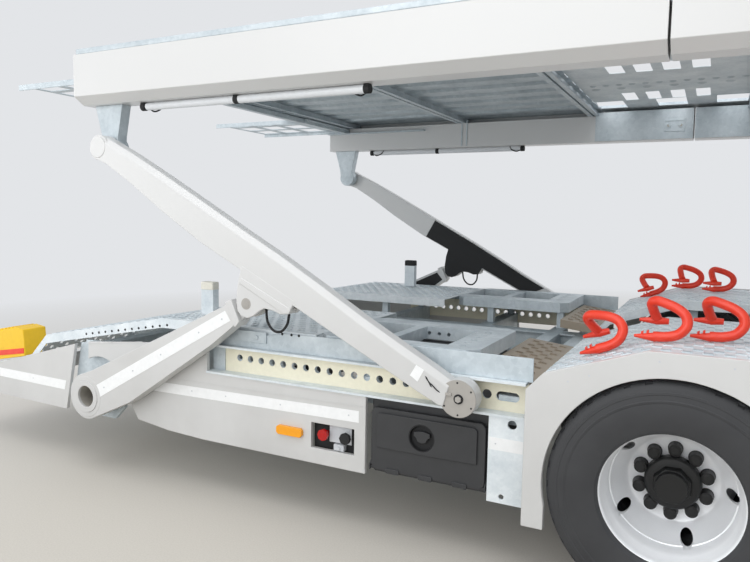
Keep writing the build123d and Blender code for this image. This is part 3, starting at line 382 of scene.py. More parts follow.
hand_holes = [
    ((hand_hole_circle * sin(turn), 0.07, hand_hole_circle * cos(turn)), hand_hole_radius, 0.12, 28, 0)
    for turn in hand_hole_turns
]
for name, wheel_x, side in wheels:
    mesh = bmesh.new()
    spun(mesh, dish_front + dish_back, (0, 0), 96)
    bmesh.ops.recalc_face_normals(mesh, faces=mesh.faces)
    mesh = drilled(mesh, hand_holes)
    bmesh.ops.scale(mesh, vec=(1, -1, 1), verts=copied(mesh))
    bmesh.ops.scale(mesh, vec=(1, side, 1), verts=mesh.verts)
    bmesh.ops.translate(mesh, vec=(wheel_x, side * wheel_middle_y, axle_height), verts=mesh.verts)
    rims = keep(name + "_rim_pair", mesh, name + "_wheel", wheel_silver, 28)
    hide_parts(name + "_rims")

# Hubs: cast hubs with an octagonal ring and a round cap, in black wheel enamel that is nearly matt,
# and ten studs whose nuts wear black plastic caps.
wheel_enamel = plain_finish("black_wheel_enamel", "#08090A", 0.5)
hub_section = (
    # outwards from the disc's mounting face, radius
    (-0.150, 0.041), (-0.150, 0.086), (-0.110, 0.100), (-0.040, 0.112), (-0.014, 0.138), (-0.0005, 0.138),
    (-0.0005, 0.076), (0.020, 0.076), (0.024, 0.090), (0.034, 0.094), (0.058, 0.092), (0.066, 0.086),
    (0.070, 0.066), (0.070, 0.0),
)
hub_rounds = (
    # depth, start, radius where it starts and ends, sides: the octagon and the cap
    (0.030, 0.068, 0.066, 0.062, 8), (0.020, 0.096, 0.054, 0.051, 32),
)
nut_rounds = (
    # the same for a stud's washer, its cap and the cap's domed end
    (0.008, 0.0, 0.025, 0.025, 20), (0.034, 0.006, 0.0235, 0.0215, 20), (0.004, 0.038, 0.0185, 0.0150, 20),
)
stud_count, stud_circle, stud_face, first_stud_share = 10, 0.1125, 0.012, 0.03
outwards = Matrix.Rotation(-pi / 2, 4, "X")
for name, wheel_x, side in wheels:
    mesh = bmesh.new()
    spun(mesh, hub_section, (0, 0), 48, closed=False)
    bmesh.ops.remove_doubles(mesh, verts=mesh.verts, dist=0.00001)
    rounds = [(Matrix.Rotation(pi / 8, 4, "Y"), *row) for row in hub_rounds]
    for stud in range(stud_count):
        turn = 2 * pi * (stud + first_stud_share) / stud_count
        seat = Matrix.Translation((stud_circle * sin(turn), stud_face, stud_circle * cos(turn)))
        rounds += [(seat, *row) for row in nut_rounds]
    for seat, depth, start, r1, r2, sides in rounds:
        middle = seat @ Matrix.Translation((0, start + depth / 2, 0))
        cone(mesh, middle @ outwards, sides, r1, r2, depth)
    bmesh.ops.scale(mesh, vec=(1, side, 1), verts=mesh.verts)
    bmesh.ops.translate(mesh, vec=(wheel_x, side * wheel_middle_y, axle_height), verts=mesh.verts)
    hub = keep(name + "_hub_and_nuts", mesh, name + "_wheel", wheel_enamel, 30)
    rounded(hub, 0.0015)
    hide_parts(name + "_hub")


def extruded(mesh, places, way):
    """Solid drawn along a vector from the face through some places."""
    face = mesh.faces.new([mesh.verts.new(place) for place in places])
    made = bmesh.ops.extrude_face_region(mesh, geom=[face])["geom"]
    bmesh.ops.translate(mesh, vec=way, verts=corners_of(made))


def prism(mesh, points, y_from, y_to):
    """Closed plate in a side plane: (x from the rear axle, z) points, drawn from one y to another."""
    extruded(mesh, [(rear_axle_x + x, y_from, z) for x, z in points], (0, y_to - y_from, 0))


def slab(mesh, x_from, x_to, z_from, z_to, y_from, y_to):
    """Rectangular plate in a side plane."""
    prism(mesh, ((x_from, z_from), (x_to, z_from), (x_to, z_to), (x_from, z_to)), y_from, y_to)


def disc(mesh, x, z, radius, y_from, y_to, sides=40):
    """Round plate or pin across the trailer, at (x from the rear axle, z)."""
    middle = Matrix.Translation((rear_axle_x + x, (y_from + y_to) / 2, z))
    cone(mesh, middle @ Matrix.Rotation(pi / 2, 4, "X"), sides, radius, radius, y_to - y_from)


def mirrored(points, middle):
    """The same side outline turned end for end about x = middle."""
    return [(2 * middle - x, z) for x, z in reversed(points)]


def doubled(mesh, middle_x=None):
    """The whole mesh once more, mirrored across the trailer, or end for end about a middle."""
    factors = (1, -1, 1) if middle_x is None else (-1, 1, 1)
    bmesh.ops.scale(mesh, vec=factors, space=Matrix.Translation((-(middle_x or 0), 0, 0)), verts=copied(mesh))


# White skins: skirts, wheel arches, the tail's side panels and rear beam, folded from steel sheet
# and bolted to the frame. Their two-pack paint is smooth and glossy and faintly orange-peeled. In
# clouds it greys towards the ground: partly road dust, partly painted shade for the dimmer light low down.
white_paint, tree, shader, place = finish("white_two_pack_paint")
cloud = add(tree, "TexNoise", {"Vector": place, "Scale": 2.2, "Detail": 5, "Roughness": 0.6})
height = add(tree, "SeparateXYZ", {0: place})
# Painted shade with dust: the paint darkens towards the ground below 1.3 m, in clouds.
low = add(tree, "MapRange", {
    "Value": height.outputs["Z"], "From Min": 0.2, "From Max": 1.3, "To Min": 0.85, "To Max": 0.0,
})
dust_and_shade = add(tree, "Math", {0: low.outputs[0], 1: cloud.outputs[0]}, operation="MULTIPLY")
tinted(tree, shader, dust_and_shade.outputs[0], "#D6D6D5", "#A6A5A2")
sheen = add(tree, "MapRange", {"Value": cloud.outputs[0], "To Min": 0.24, "To Max": 0.36})
feed(shader, {"Roughness": sheen.outputs[0], "IOR": 1.5})
grained(tree, shader, place, 260.0, 2, 0.06, 0.0006)
dress(("side_skirts", "wheel_arches", "rear_side_panels", "rear_beam"), white_paint)

# Markers and tail lamps: glossy moulded polycarbonate lenses, amber along the skirts and red at the
# tail, clipped into the skins. The red one's finish also makes the valve panel's red knob.
red_polycarbonate = plain_finish("red_polycarbonate", "#B01212", 0.18)
dress(("side_markers",), plain_finish("amber_polycarbonate", "#F5A21C", 0.18))
dress(("tail_lamps",), red_polycarbonate)

# Reflective tapes: white retro-reflective film with a soft sheen, stuck on the skirts, the arches
# and the tail's side panels, and 0.6 mm thick here so that its edge shows.
tape = plain_finish("white_reflective_tape", "#F1F2F2", 0.38)
skirt_face, tail_face, arch_face = 1.184, 1.189, 1.2738
linkage_middle, axles_middle = 1.000, 0.655
tapes = (
    # name, face at |y|, middle about which it is mirrored, points
    ("skirt_tape", skirt_face, linkage_middle, (
        (-2.277, 0.492), (-2.310, 0.444), (-1.172, 0.459), (-1.173, 0.508),
    )),
    ("tail_tape", tail_face, None, ((-2.918, 0.417), (-2.930, 0.368), (-3.462, 0.376), (-3.462, 0.424))),
    ("arch_end_tape", skirt_face, axles_middle, (
        (-0.625, 0.493), (-0.625, 0.446), (-0.495, 0.446), (-0.495, 0.493),
    )),
    ("arch_tape", arch_face, None, (
        (-0.396, 0.754), (-0.083, 0.874), (1.393, 0.874), (1.706, 0.754),
        (1.690, 0.709), (1.384, 0.838), (-0.074, 0.838), (-0.380, 0.709),
    )),
)
for name, face_y, middle, points in tapes:
    mesh = bmesh.new()
    prism(mesh, points, face_y, face_y + 0.0006)
    if middle:
        prism(mesh, mirrored(points, middle), face_y, face_y + 0.0006)
    doubled(mesh)
    keep(name, mesh, "chassis", tape, 30)

# Seams of the skins: the arch's two sheets meet under the tape, and the skirt's and the tail's
# sheets are lapped over one another, painted in one with them.
mesh = bmesh.new()
prism(mesh, ((-0.471, 0.655), (-0.318, 0.663), (-0.318, 0.660), (-0.471, 0.652)), arch_face, 1.2748)
prism(mesh, ((-2.234, 0.519), (-1.1425, 0.530), (-1.1425, 0.527), (-2.234, 0.516)), skirt_face, 1.1856)
slab(mesh, -1.9700, -1.1425, 0.566, 0.572, skirt_face, 1.1860)
prism(mesh, ((-2.7500, 0.6350), (-2.370, 0.6780), (-2.370, 0.6730), (-2.7500, 0.6300)), skirt_face, 1.1860)
doubled(mesh)
keep("skin_seams", mesh, "chassis", white_paint)

# Rivets: small bright zinc-plated heads that hold the tapes' ends and the skins, shiny and nearly
# flush with the sheet.
zinc_plate = plain_finish("bright_zinc_plate", "#C9CCD0", 0.3)
rivets = (
    # skin at |y|, radius, (x, z) places
    (arch_face, 0.0035, ((-0.262, 0.785), (-0.330, 0.757), (-0.050, 0.856), (0.160, 0.857))),
    (skirt_face, 0.0035, ((-2.060, 0.474), (-1.860, 0.476), (-1.560, 0.480), (-1.220, 0.484))),
    (skirt_face, 0.0032, ((-0.598, 0.470),)),
    (tail_face - 0.0003, 0.0035, ((-3.180, 0.398),)),
)
mesh = bmesh.new()
for skin, radius, places in rivets:
    for x, z in places:
        disc(mesh, x, z, radius, skin + 0.0002, skin + 0.0015, 10)
doubled(mesh)
keep("skin_rivets", mesh, "chassis", zinc_plate)

# Arch end plates: plates cut from continuously galvanised sheet, bolted under the channels, with a
# lifting hole near each end. Their zinc is thinner, with finer crystals, and is painted much lighter
# than the hot-dip zinc: a painted highlight for the light that the tracks and channels reflect.
sheet_zinc_painted_bright, tree, shader, place = finish("galvanised_sheet_painted_highlight")
mixed = spangled(tree, place, 90.0, 0.12, 8.0, 5, 0.6)
shade = add(tree, "MapRange", {"Value": mixed, "From Min": 0.35, "From Max": 0.85})
tinted(tree, shader, shade.outputs[0], "#CAD3D8", "#EEF3F5")
feed(shader, {"Metallic": 0.12, "Roughness": 0.46})
plate_middle_y = -skirt_face + 0.006
mesh = bmesh.new()
slab(mesh, -0.627, -0.493, 0.245, 0.5725, -skirt_face + 0.012, -skirt_face)
bmesh.ops.recalc_face_normals(mesh, faces=mesh.faces)
mesh = drilled(mesh, [
    ((rear_axle_x - 0.538, plate_middle_y, 0.548), 0.017, 0.05, 22, 0),
    ((rear_axle_x - 0.571, plate_middle_y, 0.270), 0.010, 0.05, 18, 0),
])
doubled(mesh)
doubled(mesh, rear_axle_x + axles_middle)
end_plates = keep("drilled_end_plates", mesh, "chassis", sheet_zinc_painted_bright)
rounded(end_plates, 0.0015)
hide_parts("arch_end_plates")


def at_four_corners(mesh):
    """One quarter of a group of like pieces, repeated across the trailer and end for end."""
    doubled(mesh)
    doubled(mesh, rear_axle_x + linkage_middle)


# Side channels: roll-formed galvanised channels, open outwards, in which the foot rollers run. The
# web is rubbed with pale yellow wax and carries a row of collared round holes and two wider ones.
# The wax is painted lighter than it really is: painted light against the shade inside the channel.
waxed_zinc_painted_bright = plain_finish("wax_coated_zinc_painted_bright", "#F1ECD6", 0.42)
channel_y, channel_depth, channel_wall = 1.189, 0.065, 0.009
channel_low, channel_high = 0.5730, 0.7080
channel_start, channel_end = -1.970, -0.493
channel_back = channel_y - channel_depth
web_face = channel_back + channel_wall
c_section = (
    (channel_y, channel_low), (channel_y, channel_low + channel_wall),
    (web_face, channel_low + channel_wall), (web_face, channel_high - channel_wall),
    (channel_y, channel_high - channel_wall), (channel_y, channel_high),
    (channel_back, channel_high), (channel_back, channel_low),
)
row_of_holes = [(-1.819 + 0.0594 * step, 0.649 - 0.0009 * step) for step in range(16)]
row_hole_radius, collar_wall = 0.0155, 0.0018
collar_section = (
    (-1.1325, row_hole_radius), (-1.1325, row_hole_radius + collar_wall),
    (-1.1130, row_hole_radius + collar_wall), (-1.1130, row_hole_radius),
)
web_holes = [(x, z, row_hole_radius, 0) for x, z in row_of_holes]
web_holes += [(-0.652, 0.639, 0.018, 0), (-0.572, 0.638, 0.018, 0.052)]
mesh = bmesh.new()
channel_ends = [(rear_axle_x + channel_start, -y, z) for y, z in c_section]
extruded(mesh, channel_ends, (channel_end - channel_start, 0, 0))
bmesh.ops.recalc_face_normals(mesh, faces=mesh.faces)
mesh = drilled(mesh, [
    ((rear_axle_x + x, -(channel_back + channel_wall / 2), z), radius, 0.03, 22, slot)
    for x, z, radius, slot in web_holes
])
for x, z in row_of_holes:
    spun(mesh, collar_section, (rear_axle_x + x, z), 16)
at_four_corners(mesh)
channels = keep("side_channel_rails", mesh, "chassis", sheet_zinc_painted_bright)
channels.data.materials.append(waxed_zinc_painted_bright)
for face in channels.data.polygons:
    if abs(face.normal.y) > 0.9 and channel_low + 0.012 < face.center.z < channel_high - 0.012:
        face.material_index = 1
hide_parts("side_channels")

# Channel end straps: flat hot-dip galvanised straps with two bolts each above the channels, and a
# closing plate in each channel's outer end.
mesh = bmesh.new()
strap = ((-1.930, .735), (-1.950, .750), (-1.950, .770), (-1.930, .785), (-1.650, .785), (-1.650, .735))
prism(mesh, strap, -1.1600, -1.1660)
for x in (-1.925, -1.700):
    disc(mesh, x, 0.760, 0.009, -1.1720, -1.1660, 12)
slab(mesh, -1.9690, -1.900, 0.582, 0.699, -1.1330, -1.1390)
at_four_corners(mesh)
straps = keep("channel_end_straps", mesh, "chassis", hot_dip_zinc)
rounded(straps, 0.0015)

# Guide beams: galvanised plates that stand on the side channels beside the frames, flat along the
# top with one low step at the end, and keep a car's wheels on the tracks.
guide_outline = (
    (-1.910, 0.7085), (-1.910, 0.770), (-1.660, 0.770), (-1.560, 0.788), (-0.960, 0.7975), (-0.4745, 0.7975),
    (-0.4745, 0.7085),
)
mesh = bmesh.new()
prism(mesh, guide_outline, -1.152, -1.160)
at_four_corners(mesh)
guides = keep("guide_plates", mesh, "chassis", hot_dip_zinc)
rounded(guides, 0.0015)
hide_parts("guide_beams")

# Tracks: pressed anti-slip sheets for a car's wheels, bolted down on the frame. Their staggered
# windows have edges raised for grip, a lip is folded down along both sides, and the two ramps
# beside the humps are worn to a dull brown.
worn_zinc = plain_finish("worn_brown_zinc", "#A39685", 0.55)
window_length, window_pitch, window_width, window_raise = 0.031, 0.050, 0.020, 0.004
lip_height, sheet_thickness, track_inner = 0.045, 0.003, 0.353


def pierced_track(mesh, path, y_from, y_to):
    """Sheet along a side path with staggered windows; lips hang from both long edges."""
    stations = []
    for (x0, z0), (x1, z1) in zip(path, path[1:]):
        cells = max(2, round(hypot(x1 - x0, z1 - z0) / window_length))
        stations += [(x0 + (x1 - x0) * step / cells, z0 + (z1 - z0) * step / cells) for step in range(cells)]
    stations.append(path[-1])
    rows = int((y_to - y_from - 0.03) / window_pitch)
    margin = (y_to - y_from - rows * window_pitch) / 2
    across = [y_from]
    for index in range(rows):
        start = y_from + margin + index * window_pitch + (window_pitch - window_width) / 2
        across += [start, start + window_width]
    across.append(y_to)
    grid = [[mesh.verts.new((rear_axle_x + x, y, z)) for y in across] for x, z in stations]
    windows = []
    for column, (line, following) in enumerate(zip(grid, grid[1:])):
        for place in range(len(across) - 1):
            face = mesh.faces.new((line[place], following[place], following[place + 1], line[place + 1]))
            if 0 < column < len(stations) - 2 and place % 2 == 1 and (column + place // 2) % 2:
                windows.append(face)
    rims = [edge for face in windows for edge in face.edges]
    bmesh.ops.delete(mesh, geom=windows, context="FACES_ONLY")
    grown = bmesh.ops.extrude_edge_only(mesh, edges=rims)["geom"]
    bmesh.ops.translate(mesh, vec=(0, 0, window_raise), verts=corners_of(grown))
    sides = [mesh.edges.get((a[end], b[end])) for a, b in zip(grid, grid[1:]) for end in (0, -1)]
    hung = bmesh.ops.extrude_edge_only(mesh, edges=sides)["geom"]
    bmesh.ops.translate(mesh, vec=(0, 0, -lip_height), verts=corners_of(hung))


half_hump = [(-0.472, 0.7055), (-0.414, 0.7695), (-0.083, 0.8805)]
hump_path = half_hump + mirrored(half_hump, axles_middle)
ramp_path = [(-0.688, 0.7300), (-0.473, 0.7055)]
rear_path = [(-1.401, 0.7945), (-2.277, 0.7945), (-3.117, 0.6345), (-3.239, 0.5145), (-3.671, 0.4015)]
front_path = [(3.401, 0.7945), (4.699, 0.7945)]
front_ramp = [(2.000, 0.7305), (2.077, 0.7945), (2.514, 0.7945)]
tracks = (
    # name, CAD node that they replace, finish, paths with the outer |y| of each
    ("pierced_hump_tracks", "hump_tracks", sheet_zinc_painted_bright, ((hump_path, 1.248),)),
    ("pierced_ramps", None, worn_zinc, ((ramp_path, 1.121), (mirrored(ramp_path, axles_middle), 1.121))),
    ("pierced_rear_tracks", "rear_tracks", sheet_zinc_painted_bright, ((rear_path, 1.148),)),
    ("pierced_front_tracks", "front_tracks", sheet_zinc_painted_bright, ((front_path, 1.148), (front_ramp, 1.121))),
)
for name, node, zinc, runs in tracks:
    mesh = bmesh.new()
    for path, outer_y in runs:
        pierced_track(mesh, path, track_inner, outer_y)
    doubled(mesh)
    plates = keep(name, mesh, "chassis", zinc, 40)
    plates.data.shade_flat()
    wall = plates.modifiers.new("plate", "SOLIDIFY")
    wall.thickness = sheet_thickness
    wall.offset = 0
    if node:
        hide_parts(node)

# Lip holes: black discs on the rear tracks' lips, in a row, and three on the guide beams stand for
# small open holes; their black is painted shade for the dark space behind them.
lip_hole_radius = 0.0060
mesh = bmesh.new()
for step in range(13):
    share = step / 12
    disc(mesh, -2.804 + share * 0.560, 0.6700 + share * 0.0950, lip_hole_radius, -1.1505, -1.1490, 14)
for x in (-1.568, -1.520, -1.482):
    disc(mesh, x, 0.786, lip_hole_radius, -1.1606, -1.1590, 14)
doubled(mesh)
keep("lip_hole_shade_discs", mesh, "chassis", black_rubber, 50)

# Well frames: deep galvanised frames between the tracks, bolted to the chassis beside the deck
# stools, with two open bays each, slots across their inner end and round holes in the bay walls.
dress(("deck_stools",), hot_dip_zinc)
frame_plan = (
    (-1.350, 0.560), (-0.735, 0.560), (-0.690, 0.605), (-0.690, 1.105), (-0.735, 1.150), (-1.350, 1.150),
    (-1.395, 1.105), (-1.395, 0.605),
)
bay_places, bay_length, bay_width, bay_y = (-1.2500, -0.9575), 0.245, 0.375, -0.8875
mesh = bmesh.new()
extruded(mesh, [(rear_axle_x + x, -y, 0.740) for x, y in frame_plan], (0, 0, 0.060))
bays = [((rear_axle_x + x, bay_y, 0.770), (bay_length, bay_width, 0.120)) for x in bay_places]
slots = [((rear_axle_x - 0.780, -0.723 - 0.067 * step, 0.790), (0.030, 0.016, 0.060)) for step in range(6)]
wall_holes = [((rear_axle_x + x, -0.670, 0.770), 0.0085, 0.060, 16, 0) for x in (-1.069, -1.020, -0.973)]
bmesh.ops.recalc_face_normals(mesh, faces=mesh.faces)
mesh = drilled(mesh, wall_holes)
mesh = drilled(mesh, (), bays + slots)
at_four_corners(mesh)
well_frames = keep("pierced_well_frames", mesh, "chassis", hot_dip_zinc)
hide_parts("well_frames")

# Bay floors: slatted plates in black chassis paint, laid low in the bays of the frames. Their black is
# painted shade for the dark space under the deck that shows between the frames' bright edges.
mesh = bmesh.new()
for x in bay_places:
    slab(mesh, x - 0.122, x + 0.122, 0.7405, 0.7430, -0.701, -1.074)
    for step in range(5):
        slat_y = -0.738 - 0.074 * step
        slab(mesh, x - 0.120, x + 0.120, 0.7430, 0.7470, slat_y, slat_y - 0.012)
at_four_corners(mesh)
bay_shade_plates = keep("frame_bay_shade_plates", mesh, "chassis", chassis_black)
rounded(bay_shade_plates, 0.001)


def swept(mesh, path, radius, sides=12):
    """A round bar whose circle is extruded from point to point of a path."""
    points = [Vector(p) for p in path]
    frames = []
    for index, point in enumerate(points):
        before, after = points[max(index - 1, 0)], points[min(index + 1, len(points) - 1)]
        turn = (after - before).to_track_quat("Z", "Y")
        if frames:
            last = frames[-1].to_quaternion()
            turn = (last @ Vector((0, 0, 1))).rotation_difference(after - before) @ last
        frames.append(Matrix.Translation(point) @ turn.to_matrix().to_4x4())
    ring = bmesh.ops.create_circle(
        mesh, cap_ends=True, segments=sides, radius=radius, matrix=frames[0],
    )["verts"]
    made = list(ring)
    edges = list({edge for vert in ring for edge in vert.link_edges})
    for before, after in zip(frames, frames[1:]):
        grown = bmesh.ops.extrude_edge_only(mesh, edges=edges)["geom"]
        ring = corners_of(grown)
        edges = [part for part in grown if isinstance(part, bmesh.types.BMEdge)]
        bmesh.ops.transform(mesh, matrix=after @ before.inverted(), verts=ring)
        made += ring
    bmesh.ops.contextual_create(mesh, geom=edges)
    return made


def smoothed(path, steps=4):
    """Points of a smooth curve through the corners of a path."""
    points = [Vector(p) for p in path]
    points = [2 * points[0] - points[1], *points, 2 * points[-1] - points[-2]]
    curve = []
    for a, b, c, d in zip(points, points[1:], points[2:], points[3:]):
        for step in range(steps):
            t = step / steps
            bend = (2 * a - 5 * b + 4 * c - d) * t ** 2 + (3 * b - a - 3 * c + d) * t ** 3
            curve.append(0.5 * (2 * b + (c - a) * t + bend))
    curve.append(points[-2])
    return curve


# Wheel hooks: round steel bars bent into a hoop with a clawed foot at each end, hot-forged, hung in
# the windows of the humps. Their signal red paint is a little uneven and half gloss.
signal_red = clouded("signal_red_paint", (30.0, 4), ("#E0301C", "#F04A2E"), (0.32, 0.32))
hook_path = (
    # along, across, up
    (-0.036, -0.035, 0.008), (0.010, -0.035, 0.011), (0.046, -0.034, 0.024), (0.068, -0.030, 0.054),
    (0.062, -0.024, 0.086), (0.034, -0.014, 0.108), (-0.004, -0.002, 0.122), (-0.034, 0.010, 0.128),
    (-0.050, 0.026, 0.116), (-0.044, 0.048, 0.086), (-0.034, 0.066, 0.060),
)
hook_bar_radius, hook_clearance = 0.0175, 0.008
hook_claws = (
    # x from, x to, y, z, radii: the pointed foot, its teeth and the two claws of the other end
    (-0.030, -0.098, -0.035, 0.006, 0.0165, 0.005), (-0.050, -0.058, -0.035, 0.021, 0.0100, 0.0060),
    (-0.068, -0.076, -0.035, 0.017, 0.0100, 0.0050), (-0.030, -0.092, 0.068, 0.050, 0.0150, 0.0060),
    (0.006, -0.036, 0.068, 0.050, 0.0110, 0.0150),
)
hook_places = (
    # x, y, foot height, tilt
    (-0.2350, 1.030, 0.8350, 0.3236), (-0.052, 1.030, 0.886, 0.0), (0.122, 0.925, 0.886, 0.0),
    (0.655, 0.965, 0.886, 0.0), (1.188, 0.925, 0.886, 0.0), (1.362, 1.030, 0.886, 0.0),
)
mesh = bmesh.new()
for x, y, foot_height, tilt in hook_places:
    for side in (-1, 1):
        made = swept(mesh, smoothed(hook_path), hook_bar_radius)
        for x_from, x_to, claw_y, claw_z, r1, r2 in hook_claws:
            middle = Matrix.Translation(((x_from + x_to) / 2, claw_y, claw_z))
            made += cone(mesh, middle @ Matrix.Rotation(-pi / 2, 4, "Y"), 12, r1, r2, x_from - x_to)
        bmesh.ops.scale(mesh, vec=(1, side, 1), verts=made)
        bmesh.ops.rotate(mesh, cent=(0, 0, 0), matrix=Matrix.Rotation(-tilt, 3, "Y"), verts=made)
        bmesh.ops.translate(mesh, vec=(rear_axle_x + x, -side * y, foot_height + hook_clearance), verts=made)
hooks = keep("wheel_hook_bars", mesh, "chassis", signal_red, 40)
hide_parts("wheel_hooks")


def rounded_rectangle(x0, x1, z0, z1, radius, steps=5):
    """Corner points of a rounded rectangle in the side view."""
    corners = (
        (x1 - radius, z1 - radius, 0), (x0 + radius, z1 - radius, 90),
        (x0 + radius, z0 + radius, 180), (x1 - radius, z0 + radius, 270),
    )
    points = []
    for middle_x, middle_z, start in corners:
        for step in range(steps + 1):
            turn = radians(start + 90 * step / steps)
            points.append((middle_x + radius * cos(turn), middle_z + radius * sin(turn)))
    return points


# Toolbox and its lid: blow-moulded black polyethylene, half matt with a fine grain. The lid has a
# rounded, raised front, a crease under the round handle pocket and three hinge tabs below.
polyethylene = clouded(
    "moulded_polyethylene", (12.0, 4), ("#2B2C2E", "#38393B"), (0.5, 0.5), grain=(420.0, 3, 0.25, 0.0005),
)
dress(("toolbox",), polyethylene)
lid_x, lid_z = (-1.1170, -0.6380), (0.2785, 0.5345)
lid_back, lid_front = -1.1595, -1.1888
pocket_x, pocket_z = -0.893, 0.441
raised_panel = (
    (-1.090, 0.374), (-0.980, 0.3735), (-0.870, 0.3735), (-0.760, 0.3745), (-0.668, 0.376), (-0.668, 0.506),
    (-0.684, 0.516), (-1.074, 0.516), (-1.090, 0.506),
)
lower_panel = (
    (-1.090, 0.366), (-1.090, 0.312), (-1.072, 0.300), (-0.686, 0.300), (-0.668, 0.312), (-0.668, 0.368),
    (-0.760, 0.3665), (-0.870, 0.3655), (-0.980, 0.3655),
)
front_rim = rounded_rectangle(lid_x[0] + 0.012, lid_x[1] - 0.012, lid_z[0] + 0.010, lid_z[1] - 0.010, 0.020)
mesh = bmesh.new()
prism(mesh, rounded_rectangle(*lid_x, *lid_z, 0.026), lid_back, lid_front + 0.009)
prism(mesh, front_rim, lid_front + 0.012, lid_front + 0.004)
prism(mesh, raised_panel, lid_front + 0.006, lid_front)
prism(mesh, lower_panel, lid_front + 0.006, lid_front + 0.002)
for x in (-1.020, -0.8775, -0.735):
    tab = rounded_rectangle(x - 0.030, x + 0.030, 0.270, 0.291, 0.006, 3)
    prism(mesh, tab, lid_back + 0.002, lid_front + 0.004)
bmesh.ops.recalc_face_normals(mesh, faces=mesh.faces)
mesh = drilled(mesh, [((rear_axle_x + pocket_x, lid_front, pocket_z), 0.054, 0.036, 40, 0)])
lid = keep("toolbox_lid_moulding", mesh, "toolbox_lid", polyethylene)
rounded(lid, 0.0022)
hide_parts("toolbox_lid")

# Handle of the toolbox: a round pocket liner of moulded rubber pressed into the lid, the turning
# grip in it, and the two end caps of the lid's hinge below.
pocket_wall = ((-1.1708, 0.0480), (-1.1708, 0.0535), (-1.1885, 0.0560), (-1.1885, 0.0510))
grip = (
    (-0.927, 0.446), (-0.927, 0.461), (-0.905, 0.466), (-0.893, 0.467), (-0.881, 0.466), (-0.859, 0.461),
    (-0.859, 0.446), (-0.868, 0.440), (-0.876, 0.424), (-0.893, 0.420), (-0.910, 0.424), (-0.918, 0.440),
)
mesh = bmesh.new()
disc(mesh, pocket_x, pocket_z, 0.0535, -1.1725, -1.1700)
spun(mesh, pocket_wall, (rear_axle_x + pocket_x, pocket_z), 40)
keep("toolbox_handle_pocket", mesh, "toolbox_lid", black_rubber)
mesh = bmesh.new()
prism(mesh, grip, -1.1725, -1.1865)
for x in (lid_x[0] - 0.0048, lid_x[1] - 0.0152):
    prism(mesh, rounded_rectangle(x, x + 0.020, 0.2790, 0.2890, 0.0045, 3), -1.1690, -1.1790)
handle = keep("toolbox_handle", mesh, "toolbox_lid", polyethylene)
rounded(handle, 0.0016)

# Valve panel: black rubber-coated port block behind the opening in the skirt, with a zinc-plated
# plate, a hose fitting and two screws, and an octagonal red knob and a black one on their stems.
mesh = bmesh.new()
slab(mesh, -1.405, -1.165, 0.312, 0.456, -1.1380, -1.1500)
valve_block = keep("valve_block", mesh, "chassis", black_rubber)
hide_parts("valve_panel")
mesh = bmesh.new()
slab(mesh, -1.322, -1.216, 0.350, 0.424, -1.1600, -1.1640)
slab(mesh, -1.296, -1.248, 0.320, 0.346, -1.1500, -1.1740)
disc(mesh, -1.272, 0.330, 0.0085, -1.1790, -1.1740, 6)
for x in (-1.3095, -1.2290):
    disc(mesh, x, 0.412, 0.0035, -1.1655, -1.1640, 10)
fittings = keep("valve_plate_and_fitting", mesh, "chassis", zinc_plate)
rounded(fittings, 0.0012)
knobs = ((-1.338, "valve_red_knob", red_polycarbonate), (-1.232, "valve_black_knob", black_rubber))
for x, name, knob_finish in knobs:
    mesh = bmesh.new()
    disc(mesh, x, 0.384, 0.010, -1.1850, -1.1500, 12)
    disc(mesh, x, 0.384, 0.0250, -1.1990, -1.1850, 8)
    disc(mesh, x, 0.384, 0.0150, -1.1998, -1.1990, 8)
    knob = keep(name, mesh, "chassis", knob_finish)
    rounded(knob, 0.002)


def rod_along(mesh, x, y, z, radius, length, sides):
    """Round rod along the trailer, its middle at (x from the rear axle, y, z)."""
    middle = Matrix.Translation((rear_axle_x + x, y, z))
    cone(mesh, middle @ Matrix.Rotation(pi / 2, 4, "Y"), sides, radius, radius, length)


# Deck stakes: square galvanised posts that stand in the rear tracks, each with two bolts. The near
# one wears a cream cast polyurethane cap, matt and smooth, and the far one a black rubber one.
polyurethane = plain_finish("white_cast_polyurethane", "#E6E3D6", 0.5)
stakes = (
    # name, x, y, foot, top, cap's finish, slot
    ("near", -2.150, -0.950, 0.800, 0.965, polyurethane, "white_paint"),
    ("far", -1.900, 0.950, 0.800, 0.990, black_rubber, "air_bag_rubber"),
)
mesh = bmesh.new()
for name, x, y, foot_height, top_z, cap_finish, slot in stakes:
    slab(mesh, x - 0.038, x + 0.038, foot_height, top_z - 0.030, y - 0.022, y + 0.022)
    for bolt_z in (foot_height + 0.035, foot_height + 0.100):
        rod_along(mesh, x + 0.0380, y, bolt_z, 0.008, 0.0040, 6)
posts = keep("stake_posts", mesh, "chassis", sheet_zinc_painted_bright)
rounded(posts, 0.002)
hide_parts("deck_stakes")
for name, x, y, foot_height, top_z, cap_finish, slot in stakes:
    cap_side = (
        (x - 0.0395, top_z - 0.040), (x + 0.0395, top_z - 0.040), (x + 0.0385, top_z), (x - 0.0385, top_z),
    )
    mesh = bmesh.new()
    prism(mesh, cap_side, y - 0.0245, y + 0.0245)
    cap = keep(name + "_stake_cap", mesh, "chassis", cap_finish)
    rounded(cap, 0.006, 3)

